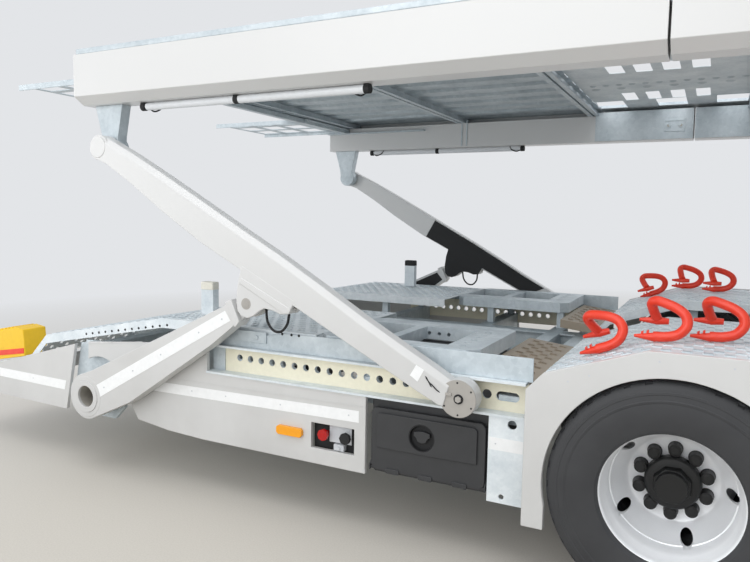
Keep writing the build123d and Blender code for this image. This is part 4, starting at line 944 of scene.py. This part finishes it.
# Wheel chock: moulded yellow polyethylene wedge, half matt, with ribs across its face, laid on the
# slope of the right rear track, with a woven red strap round it.
yellow_polyethylene = plain_finish("yellow_polyethylene", "#F0C21A", 0.5)
chock_side = [(-3.620, 0.436), (-3.620, 0.607)]
for rib in range(6):
    x, rise = -3.612 + rib * 0.030, rib * 0.006
    chock_side += [(x, 0.612 + rise), (x + 0.012, 0.618 + rise)]
    chock_side += [(x + 0.016, 0.606 + rise), (x + 0.024, 0.606 + rise)]
chock_side += [(-3.428, 0.648), (-3.350, 0.638), (-3.341, 0.560), (-3.341, 0.489)]
mesh = bmesh.new()
prism(mesh, chock_side, -1.122, -0.978)
chock = keep("ribbed_chock", mesh, "chassis", yellow_polyethylene)
rounded(chock, 0.004)
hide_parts("wheel_chock")
mesh = bmesh.new()
prism(mesh, ((-3.560, 0.500), (-3.345, 0.535), (-3.345, 0.505), (-3.560, 0.470)), -1.1245, -1.1215)
keep("chock_strap", mesh, "chassis", signal_red)


def place_end(mesh, front):
    """Doubles one side's linkage across the trailer, and turns it end for end for the front."""
    doubled(mesh)
    if front:
        middle = Matrix.Translation((-(rear_axle_x + linkage_middle), 0, 0))
        bmesh.ops.scale(mesh, vec=(-1, 1, 1), space=middle, verts=mesh.verts)


# Short arms: fabricated box arms, painted white, clamped on their lift tube by a ring, with a
# slanted end plate and a single eye that stands between the lug plates of the long arm. The lift
# tube crosses the trailer, and the bore in its end is bare, oxidised steel.
dress(("rear_lift_tube", "front_lift_tube"), white_paint)
oxidised_bore = plain_finish("oxidised_bore", "#A9A59C", 0.6)
ends = (("rear_", False), ("front_", True))
arm_inner, arm_face, arm_limit = 1.1990, 1.2710, 1.2748
lift_tube, elbow = (-2.671, 0.385), (-1.677, 0.922)
tube_side = [
    (lift_tube[0] + 0.081 * cos(radians(turn)), lift_tube[1] + 0.081 * sin(radians(turn)))
    for turn in (-60, -40, -20, 0, 20, 40, 60, 80, 100, 118)
]
short_arm_outline = [
    (-2.724, 0.485), (-2.619, 0.524), (-1.757, 0.922), (-1.718, 0.842), (-1.872, 0.724), (-2.371, 0.396),
    (-2.614, 0.286), *tube_side,
]
end_plate = ((-1.788, 0.921), (-1.757, 0.936), (-1.713, 0.843), (-1.736, 0.815))
eye_root = ((-1.775, 0.905), (-1.690, 0.960), (-1.650, 0.900), (-1.740, 0.830))
tube_rings = (
    # inner and outer radius, y from, y to
    (0.0802, 0.1140, arm_inner - 0.003, 1.2690), (0.0802, 0.1020, 1.2690, arm_face + 0.001),
    (0.0532, 0.0798, 1.2600, 1.2746),
)
short_arm_tape = ((-2.606, 0.446), (-2.571, 0.396), (-1.762, 0.842), (-1.790, 0.884))
short_arm_pad = ((-2.500, 0.560), (-1.790, 0.890), (-1.745, 0.838), (-1.880, 0.735), (-2.340, 0.435))
tube_centre = (rear_axle_x + lift_tube[0], lift_tube[1])
for prefix, front in ends:
    body = prefix + "short_arms"
    mesh = bmesh.new()
    prism(mesh, short_arm_outline, arm_inner - 0.003, arm_face)
    prism(mesh, end_plate, 1.1955, arm_limit - 0.001)
    prism(mesh, eye_root, 1.2170, 1.2490)
    disc(mesh, *elbow, 0.0490, 1.2170, 1.2490)
    for inner, outer, y_from, y_to in tube_rings:
        spun(mesh, ((y_from, inner), (y_from, outer), (y_to, outer), (y_to, inner)), tube_centre, 64)
    place_end(mesh, front)
    arms = keep(prefix + "short_arm_pair", mesh, body, white_paint)
    rounded(arms, 0.004, 3)
    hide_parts(prefix + "short_arms")

    mesh = bmesh.new()
    prism(mesh, short_arm_tape, arm_face, arm_face + 0.0008)
    place_end(mesh, front)
    keep(prefix + "short_arm_tape", mesh, body, tape)

    mesh = bmesh.new()
    for share in (0.06, 0.30, 0.52, 0.80, 0.96):
        disc(mesh, -2.590 + share * 0.815, 0.421 + share * 0.442, 0.0040, arm_face, arm_face + 0.0022, 10)
    place_end(mesh, front)
    keep(prefix + "tape_rivets", mesh, body, zinc_plate)

    mesh = bmesh.new()
    prism(mesh, short_arm_pad, 1.1952, arm_inner - 0.0028)
    place_end(mesh, front)
    keep(prefix + "short_arm_pads", mesh, body, black_rubber)

    mesh = bmesh.new()
    spun(mesh, ((1.0000, 0.0535), (1.2742, 0.0535)), tube_centre, 48, closed=False)
    place_end(mesh, front)
    bore = keep(prefix + "tube_bore_surface", mesh, body, oxidised_bore, 60)
    bore.data.flip_normals()


def lofted(mesh, sections):
    """Solid through outlines of equal length: (y, points) from one side to the other."""
    rings = [[mesh.verts.new((rear_axle_x + x, y, z)) for x, z in points] for y, points in sections]
    loops = [[mesh.edges.new((a, b)) for a, b in zip(ring, ring[1:] + ring[:1])] for ring in rings]
    for before, after in zip(loops, loops[1:]):
        bmesh.ops.bridge_loops(mesh, edges=before + after)
    mesh.faces.new(rings[0])
    mesh.faces.new(rings[-1])


# Long arms: welded box arms, painted white, with a chamfered upper edge, a machined disc over the
# foot roller, a clevis lug below the middle and a round eye at the top. The machined steel of the
# discs and pins is bare, warm grey and half bright.
dress(("front_top_pins",), hot_dip_zinc)
machined_steel = plain_finish("bare_machined_steel", "#A8A49E", 0.3)
top_pin, foot = (-2.550, 1.606), (-0.718, 0.640)
foot_disc = (foot[0] - 0.004, foot[1])
upper_edge = (
    (-2.528, 1.659), (-2.440, 1.618), (-2.335, 1.568), (-2.153, 1.474), (-1.922, 1.350), (-1.705, 1.232),
    (-1.501, 1.124), (-1.308, 1.014), (-1.125, 0.906), (-0.953, 0.812), (-0.821, 0.742), (-0.748, 0.700),
)
lower_edge = (
    (-0.777, 0.606), (-0.794, 0.608), (-0.888, 0.652), (-1.402, 0.912), (-1.924, 1.174), (-2.155, 1.312),
    (-2.339, 1.434), (-2.498, 1.528), (-2.580, 1.557),
)
chamfered_edge = tuple((x - 0.009, z - 0.021) for x, z in upper_edge)
lug_outline = (
    (-1.700, 1.085), (-1.720, 1.018), (-1.730, 0.940), (-1.724, 0.890), (-1.705, 0.868), (-1.672, 0.860),
    (-1.640, 0.872), (-1.610, 0.895), (-1.584, 0.909), (-1.540, 0.903), (-1.502, 0.890), (-1.464, 0.893),
    (-1.430, 0.950),
)
lug_flange = (
    (-1.716, 1.010), (-1.700, 1.032), (-1.462, 0.922), (-1.450, 0.910), (-1.458, 0.896), (-1.484, 0.894),
    (-1.696, 1.000),
)
stop_block = ((-0.768, 0.650), (-0.768, 0.660), (-0.745, 0.660), (-0.745, 0.650))
steel_discs = (
    # centre, radius, y from, y to, sides: cover disc, its bolt, foot roller and its pin, elbow pin
    (foot_disc, 0.0700, 1.2600, 1.2660, 48), (foot, 0.0125, 1.2660, arm_limit, 6),
    (foot, 0.0440, 1.1430, 1.1890, 40), (foot, 0.0220, 1.1390, arm_inner, 24),
    (elbow, 0.0245, arm_face, arm_face + 0.0016, 32),
    (elbow, 0.0160, arm_face + 0.0016, arm_face + 0.0030, 32),
    (elbow, 0.0070, arm_face + 0.0030, arm_limit, 12), (elbow, 0.0300, 1.1952, 1.1970, 32),
)
long_arm_pad = (
    (-1.887, 1.160), (-1.817, 1.283), (-1.501, 1.114), (-1.308, 1.004), (-1.125, 0.896), (-0.980, 0.818),
    (-1.100, 0.768), (-1.402, 0.922),
)
foot_window_shade = ((-0.850, 0.712), (-0.843, 0.709), (-0.820, 0.672), (-0.827, 0.675))
long_arm_tape = ((-0.886, 0.750), (-0.854, 0.734), (-0.879, 0.687), (-0.911, 0.707))
hoses = (
    # y, radius, sides, path: the thin hose at the foot and the loop under the lug
    (arm_face + 0.0005, 0.0022, 8, (
        (-0.846, 0, 0.706), (-0.832, 0.001, 0.690), (-0.818, 0.002, 0.680), (-0.800, 0.001, 0.664),
        (-0.780, -0.006, 0.652),
    )),
    (1.2330, 0.0055, 10, (
        (-1.600, 0, 0.905), (-1.590, 0.004, 0.850), (-1.560, 0.006, 0.815), (-1.520, 0.006, 0.812),
        (-1.490, 0.004, 0.845), (-1.483, 0, 0.890),
    )),
)
for prefix, front in ends:
    body = prefix + "long_arms"
    mesh = bmesh.new()
    lofted(mesh, (
        (arm_inner, upper_edge + lower_edge), (arm_face - 0.020, upper_edge + lower_edge),
        (arm_face, chamfered_edge + lower_edge),
    ))
    disc(mesh, *top_pin, 0.059, arm_inner - 0.003, arm_face - 0.004)
    disc(mesh, *top_pin, 0.050, arm_face - 0.004, arm_face + 0.0025)
    disc(mesh, *foot_disc, 0.0705, arm_inner - 0.003, 1.2600)
    for y_from, y_to in ((1.1955, 1.2150), (1.2510, arm_face + 0.0005)):
        prism(mesh, lug_outline, y_from, y_to)
    for y_from, y_to in ((1.2300, arm_limit), (1.1955, 1.2200)):
        prism(mesh, lug_flange, y_from, y_to)
    place_end(mesh, front)
    arms = keep(prefix + "long_arm_pair", mesh, body, white_paint)
    rounded(arms, 0.006, 3)
    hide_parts(prefix + "long_arms")

    mesh = bmesh.new()
    for centre, radius, y_from, y_to, sides in steel_discs:
        disc(mesh, *centre, radius, y_from, y_to, sides)
    prism(mesh, stop_block, 1.2660, 1.2720)
    place_end(mesh, front)
    steel = keep(prefix + "arm_discs_and_caps", mesh, body, machined_steel)
    rounded(steel, 0.0012)

    mesh = bmesh.new()
    prism(mesh, lug_outline, 1.1951, 1.1956)
    disc(mesh, *foot, 0.0185, 1.2660, 1.2685, 24)
    for screw in range(6):
        turn = radians(60 * screw + 32)
        disc(mesh, foot_disc[0] + 0.060 * cos(turn), foot[1] + 0.060 * sin(turn), 0.0038, 1.2660, 1.2666, 10)
    prism(mesh, long_arm_pad, 1.1955, arm_inner)
    # A black strip on the arm's face stands for the narrow window near the foot from which the hose comes:
    # painted shade for the dark inside.
    prism(mesh, foot_window_shade, arm_face, arm_face + 0.0010)
    place_end(mesh, front)
    keep(prefix + "arm_pads", mesh, body, black_rubber)

    mesh = bmesh.new()
    for y, radius, sides, path in hoses:
        made = swept(mesh, smoothed(path), radius, sides)
        bmesh.ops.translate(mesh, vec=(rear_axle_x, y, 0), verts=made)
    place_end(mesh, front)
    keep(prefix + "arm_hoses", mesh, body, black_rubber, 50)

    mesh = bmesh.new()
    prism(mesh, long_arm_tape, arm_face, arm_face + 0.0008)
    place_end(mesh, front)
    keep(prefix + "arm_tape", mesh, body, tape)

# Upper deck's beams: white folded side beams, and crossbeams of paired galvanised angles that stand
# back to back with a gap between them, under the sheets and welded to the side beams.
dress(("deck_side_beams",), white_paint)
crossbeam_places = [-2.662, -2.510, -1.605, -0.680, 0.245]
crossbeam_places += [1.000] + [2.000 - x for x in reversed(crossbeam_places)]
angle_section = (
    # outwards from the gap's middle, height
    (0.007, 1.9852), (0.0345, 1.9852), (0.0345, 1.9900), (0.012, 1.9900), (0.012, 2.0262), (0.007, 2.0262),
)
mesh = bmesh.new()
for x in crossbeam_places:
    for way in (-1, 1):
        prism(mesh, [(x + way * out, z) for out, z in angle_section], -1.266, 1.266)
crossbeams = keep("deck_angle_pairs", mesh, "upper_deck", hot_dip_zinc)
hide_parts("deck_crossbeams")

# Inner faces of the deck's side beams: galvanised cover plates along the middle length, with
# two-bolt joint plates and narrow stiffeners welded on beside them.
beam_inner = -1.1196
cover_plates = (
    # x from, x to, z from, z to, thickness
    (-0.667, -0.082, 1.822, 2.006, 0.0020), (-0.072, 2.072, 1.822, 2.006, 0.0020),
    (2.082, 2.667, 1.822, 2.006, 0.0020), (-0.240, -0.135, 1.870, 1.950, 0.0040),
    (-1.598, -1.590, 1.822, 2.006, 0.0050), (-1.561, -1.553, 1.822, 2.006, 0.0050),
)
mesh = bmesh.new()
for x_from, x_to, z_from, z_to, proud in cover_plates:
    slab(mesh, x_from, x_to, z_from, z_to, beam_inner, beam_inner + proud)
for x in (-0.215, -0.160):
    disc(mesh, x, 1.910, 0.011, -1.1160, -1.1100, 6)
doubled(mesh)
keep("beam_cover_plates", mesh, "upper_deck", hot_dip_zinc)

# Lashing ring plates: galvanised plates with two rings and a lip, bolted on the inner faces of the
# middle deck beams; the rings' openings show the dull beam behind them.
ring_places, ring_z = (-0.223, -0.151), 1.903
mesh = bmesh.new()
slab(mesh, -0.247, -0.129, 1.866, 1.945, 1.1145, 1.1195)
for x in ring_places:
    disc(mesh, x, ring_z, 0.0150, 1.1115, 1.1145, 20)
slab(mesh, -0.240, -0.136, 1.9300, 1.9380, 1.1110, 1.1145)
at_four_corners(mesh)
ring_plates = keep("lashing_ring_plates", mesh, "upper_deck", hot_dip_zinc)
rounded(ring_plates, 0.0012)
mesh = bmesh.new()
for x in ring_places:
    disc(mesh, x, ring_z, 0.0085, 1.1107, 1.1115, 16)
at_four_corners(mesh)
keep("lashing_ring_holes", mesh, "upper_deck", oxidised_bore)

# Deck brackets: galvanised plates under the beams, with a bolted head, that hold the top pins; the
# front ones have the slots in which the pins slide.
bracket_inner, bracket_outer, beam_underside = -1.1325, -1.1885, 1.8148
front_x, pin_z = 2 * linkage_middle - top_pin[0], top_pin[1]
slot_radius, slot_stretch = 0.0298, 0.194
rear_bracket = (
    (-2.6545, beam_underside), (-2.474, beam_underside), (-2.505, 1.668), (-2.512, 1.576), (-2.600, 1.576),
    (-2.612, 1.668),
)
front_bracket = (
    (front_x - 0.170, beam_underside), (front_x + 0.150, beam_underside), (front_x + 0.170, pin_z + 0.044),
    (front_x + 0.170, pin_z - 0.056), (front_x - 0.155, pin_z - 0.056), (front_x - 0.170, pin_z + 0.034),
)
mesh = bmesh.new()
prism(mesh, rear_bracket, bracket_inner, bracket_outer)
disc(mesh, *top_pin, 0.0600, -1.1335, -1.1880, 32)
disc(mesh, *top_pin, 0.0280, -1.1850, -1.2725, 32)
doubled(mesh)
slotted = bmesh.new()
prism(slotted, front_bracket, bracket_inner, bracket_outer)
slot_middle = (rear_axle_x + front_x + 0.005, -1.160, pin_z)
bmesh.ops.recalc_face_normals(slotted, faces=slotted.faces)
slotted = drilled(slotted, [(slot_middle, slot_radius, 0.2, 32, slot_stretch)])
doubled(slotted)
front_pair = bpy.data.meshes.new("front_brackets")
slotted.to_mesh(front_pair)
slotted.free()
mesh.from_mesh(front_pair)
for step in range(6):
    bolt_place = (rear_axle_x - 2.640 + 0.030 * step, -1.1740, 1.8100)
    cone(mesh, Matrix.Translation(bolt_place), 6, 0.010, 0.010, 0.008)
brackets = keep("deck_bracket_plates", mesh, "upper_deck", hot_dip_zinc)
rounded(brackets, 0.002)
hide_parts("deck_brackets")

# Deck sheets: ribbed galvanised sheets at both ends, and middle sheets with two rows of windows on
# each side and one along the middle, and rows of round dimples pressed down between them.
dress(("deck_ribbed_sheets",), hot_dip_zinc)
window_rows = (
    # x places in the rear half, y places, length, width
    ((-0.397, -0.271, -0.146, -0.020, 0.500, 0.626, 0.751), (-0.060,), 0.076, 0.185),
    ((-0.410, -0.283, -0.153, -0.025, 0.500, 0.626, 0.751), (-0.705, 0.705), 0.072, 0.240),
    ((-0.550, -0.200, 0.125, 0.500, 0.826), (-0.965, 0.965), 0.165, 0.250),
)
windows = [
    ((rear_axle_x + x, y, 2.0285), (length, width, 0.02))
    for places, lines, length, width in window_rows
    for place_x in places for x in (place_x, 2 * linkage_middle - place_x) for y in lines
]
dimple_rows = (
    # y, pitch, radius
    (0.325, 0.0665, 0.019), (0.425, 0.133, 0.026), (-0.325, 0.0665, 0.019), (-0.425, 0.133, 0.026),
)
mesh = bmesh.new()
slab(mesh, -0.636, 2.636, 2.0270, 2.0305, -1.268, 1.268)
bmesh.ops.recalc_face_normals(mesh, faces=mesh.faces)
mesh = drilled(mesh, (), windows)
middle_sheets = keep("windowed_middle_sheets", mesh, "upper_deck", sheet_zinc_painted_bright)
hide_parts("deck_middle_sheets")
# The dimples wear the hot-dip zinc, not the sheet's: a two-tone of painted light and shade that makes the
# bumps show.
mesh = bmesh.new()
for y, pitch, radius in dimple_rows:
    for step in range(int(3.120 / pitch)):
        dimple_place = (rear_axle_x - 0.560 + pitch * step, y, 2.0242)
        cone(mesh, Matrix.Translation(dimple_place), 10, radius * 0.55, radius, 0.006)
keep("middle_sheet_dimples_painted_light", mesh, "upper_deck", hot_dip_zinc, 50)

# Deck rails: flat bars along the top of the side beams, hot-dip galvanised and bolted down, that
# keep a car's wheels on the deck.
mesh = bmesh.new()
slab(mesh, -2.680, 4.680, 2.0452, 2.0698, -1.2748, -1.2452)
doubled(mesh)
rails = keep("deck_rail_bars", mesh, "upper_deck", hot_dip_zinc)
rounded(rails, 0.003)
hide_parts("deck_top_rails")

# Deck lights: milky polycarbonate tubes, smooth and half clear, under the side beams in black rubber
# clamps, with their cables looped up to the beam.
light_polycarbonate = plain_finish("light_tube_polycarbonate", "#E4E7EA", 0.22)
light_y, light_z = -1.172, 1.7965
cable_radius = 0.0040
cable_loops = (
    # x, y from the tube's middle, z
    ((-2.322, 0.010, 1.788), (-2.300, 0.018, 1.775), (-2.262, 0.020, 1.786), (-2.240, 0.012, 1.812)),
    ((-1.169, 0.010, 1.788), (-1.200, 0.020, 1.776), (-1.235, 0.018, 1.790), (-1.250, 0.010, 1.813)),
)
mesh = bmesh.new()
rod_along(mesh, -1.7455, light_y, light_z, 0.0175, 1.164, 24)
at_four_corners(mesh)
tubes = keep("deck_light_tubes", mesh, "upper_deck", light_polycarbonate)
rounded(tubes, 0.003)
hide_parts("deck_lights")
mesh = bmesh.new()
for x in (-2.345, -1.800, -1.161):
    rod_along(mesh, x, light_y, light_z, 0.0188, 0.026, 20)
    hanger = (
        (x - 0.013, light_z), (x + 0.013, light_z), (x + 0.011, beam_underside), (x - 0.011, beam_underside),
    )
    prism(mesh, hanger, light_y - 0.016, light_y + 0.016)
for loop in cable_loops:
    made = swept(mesh, smoothed(loop), cable_radius, 8)
    bmesh.ops.translate(mesh, vec=(rear_axle_x, light_y, 0), verts=made)
at_four_corners(mesh)
clamps = keep("deck_light_clamps", mesh, "upper_deck", black_rubber, 40)
rounded(clamps, 0.0015)

# Deck extension: a galvanised frame that pulls out of the deck's rear end, and the shelves in which
# it runs, both welded from folded sheet and kept as the CAD has them.
dress(("extension_shelves", "deck_extensions"), hot_dip_zinc)
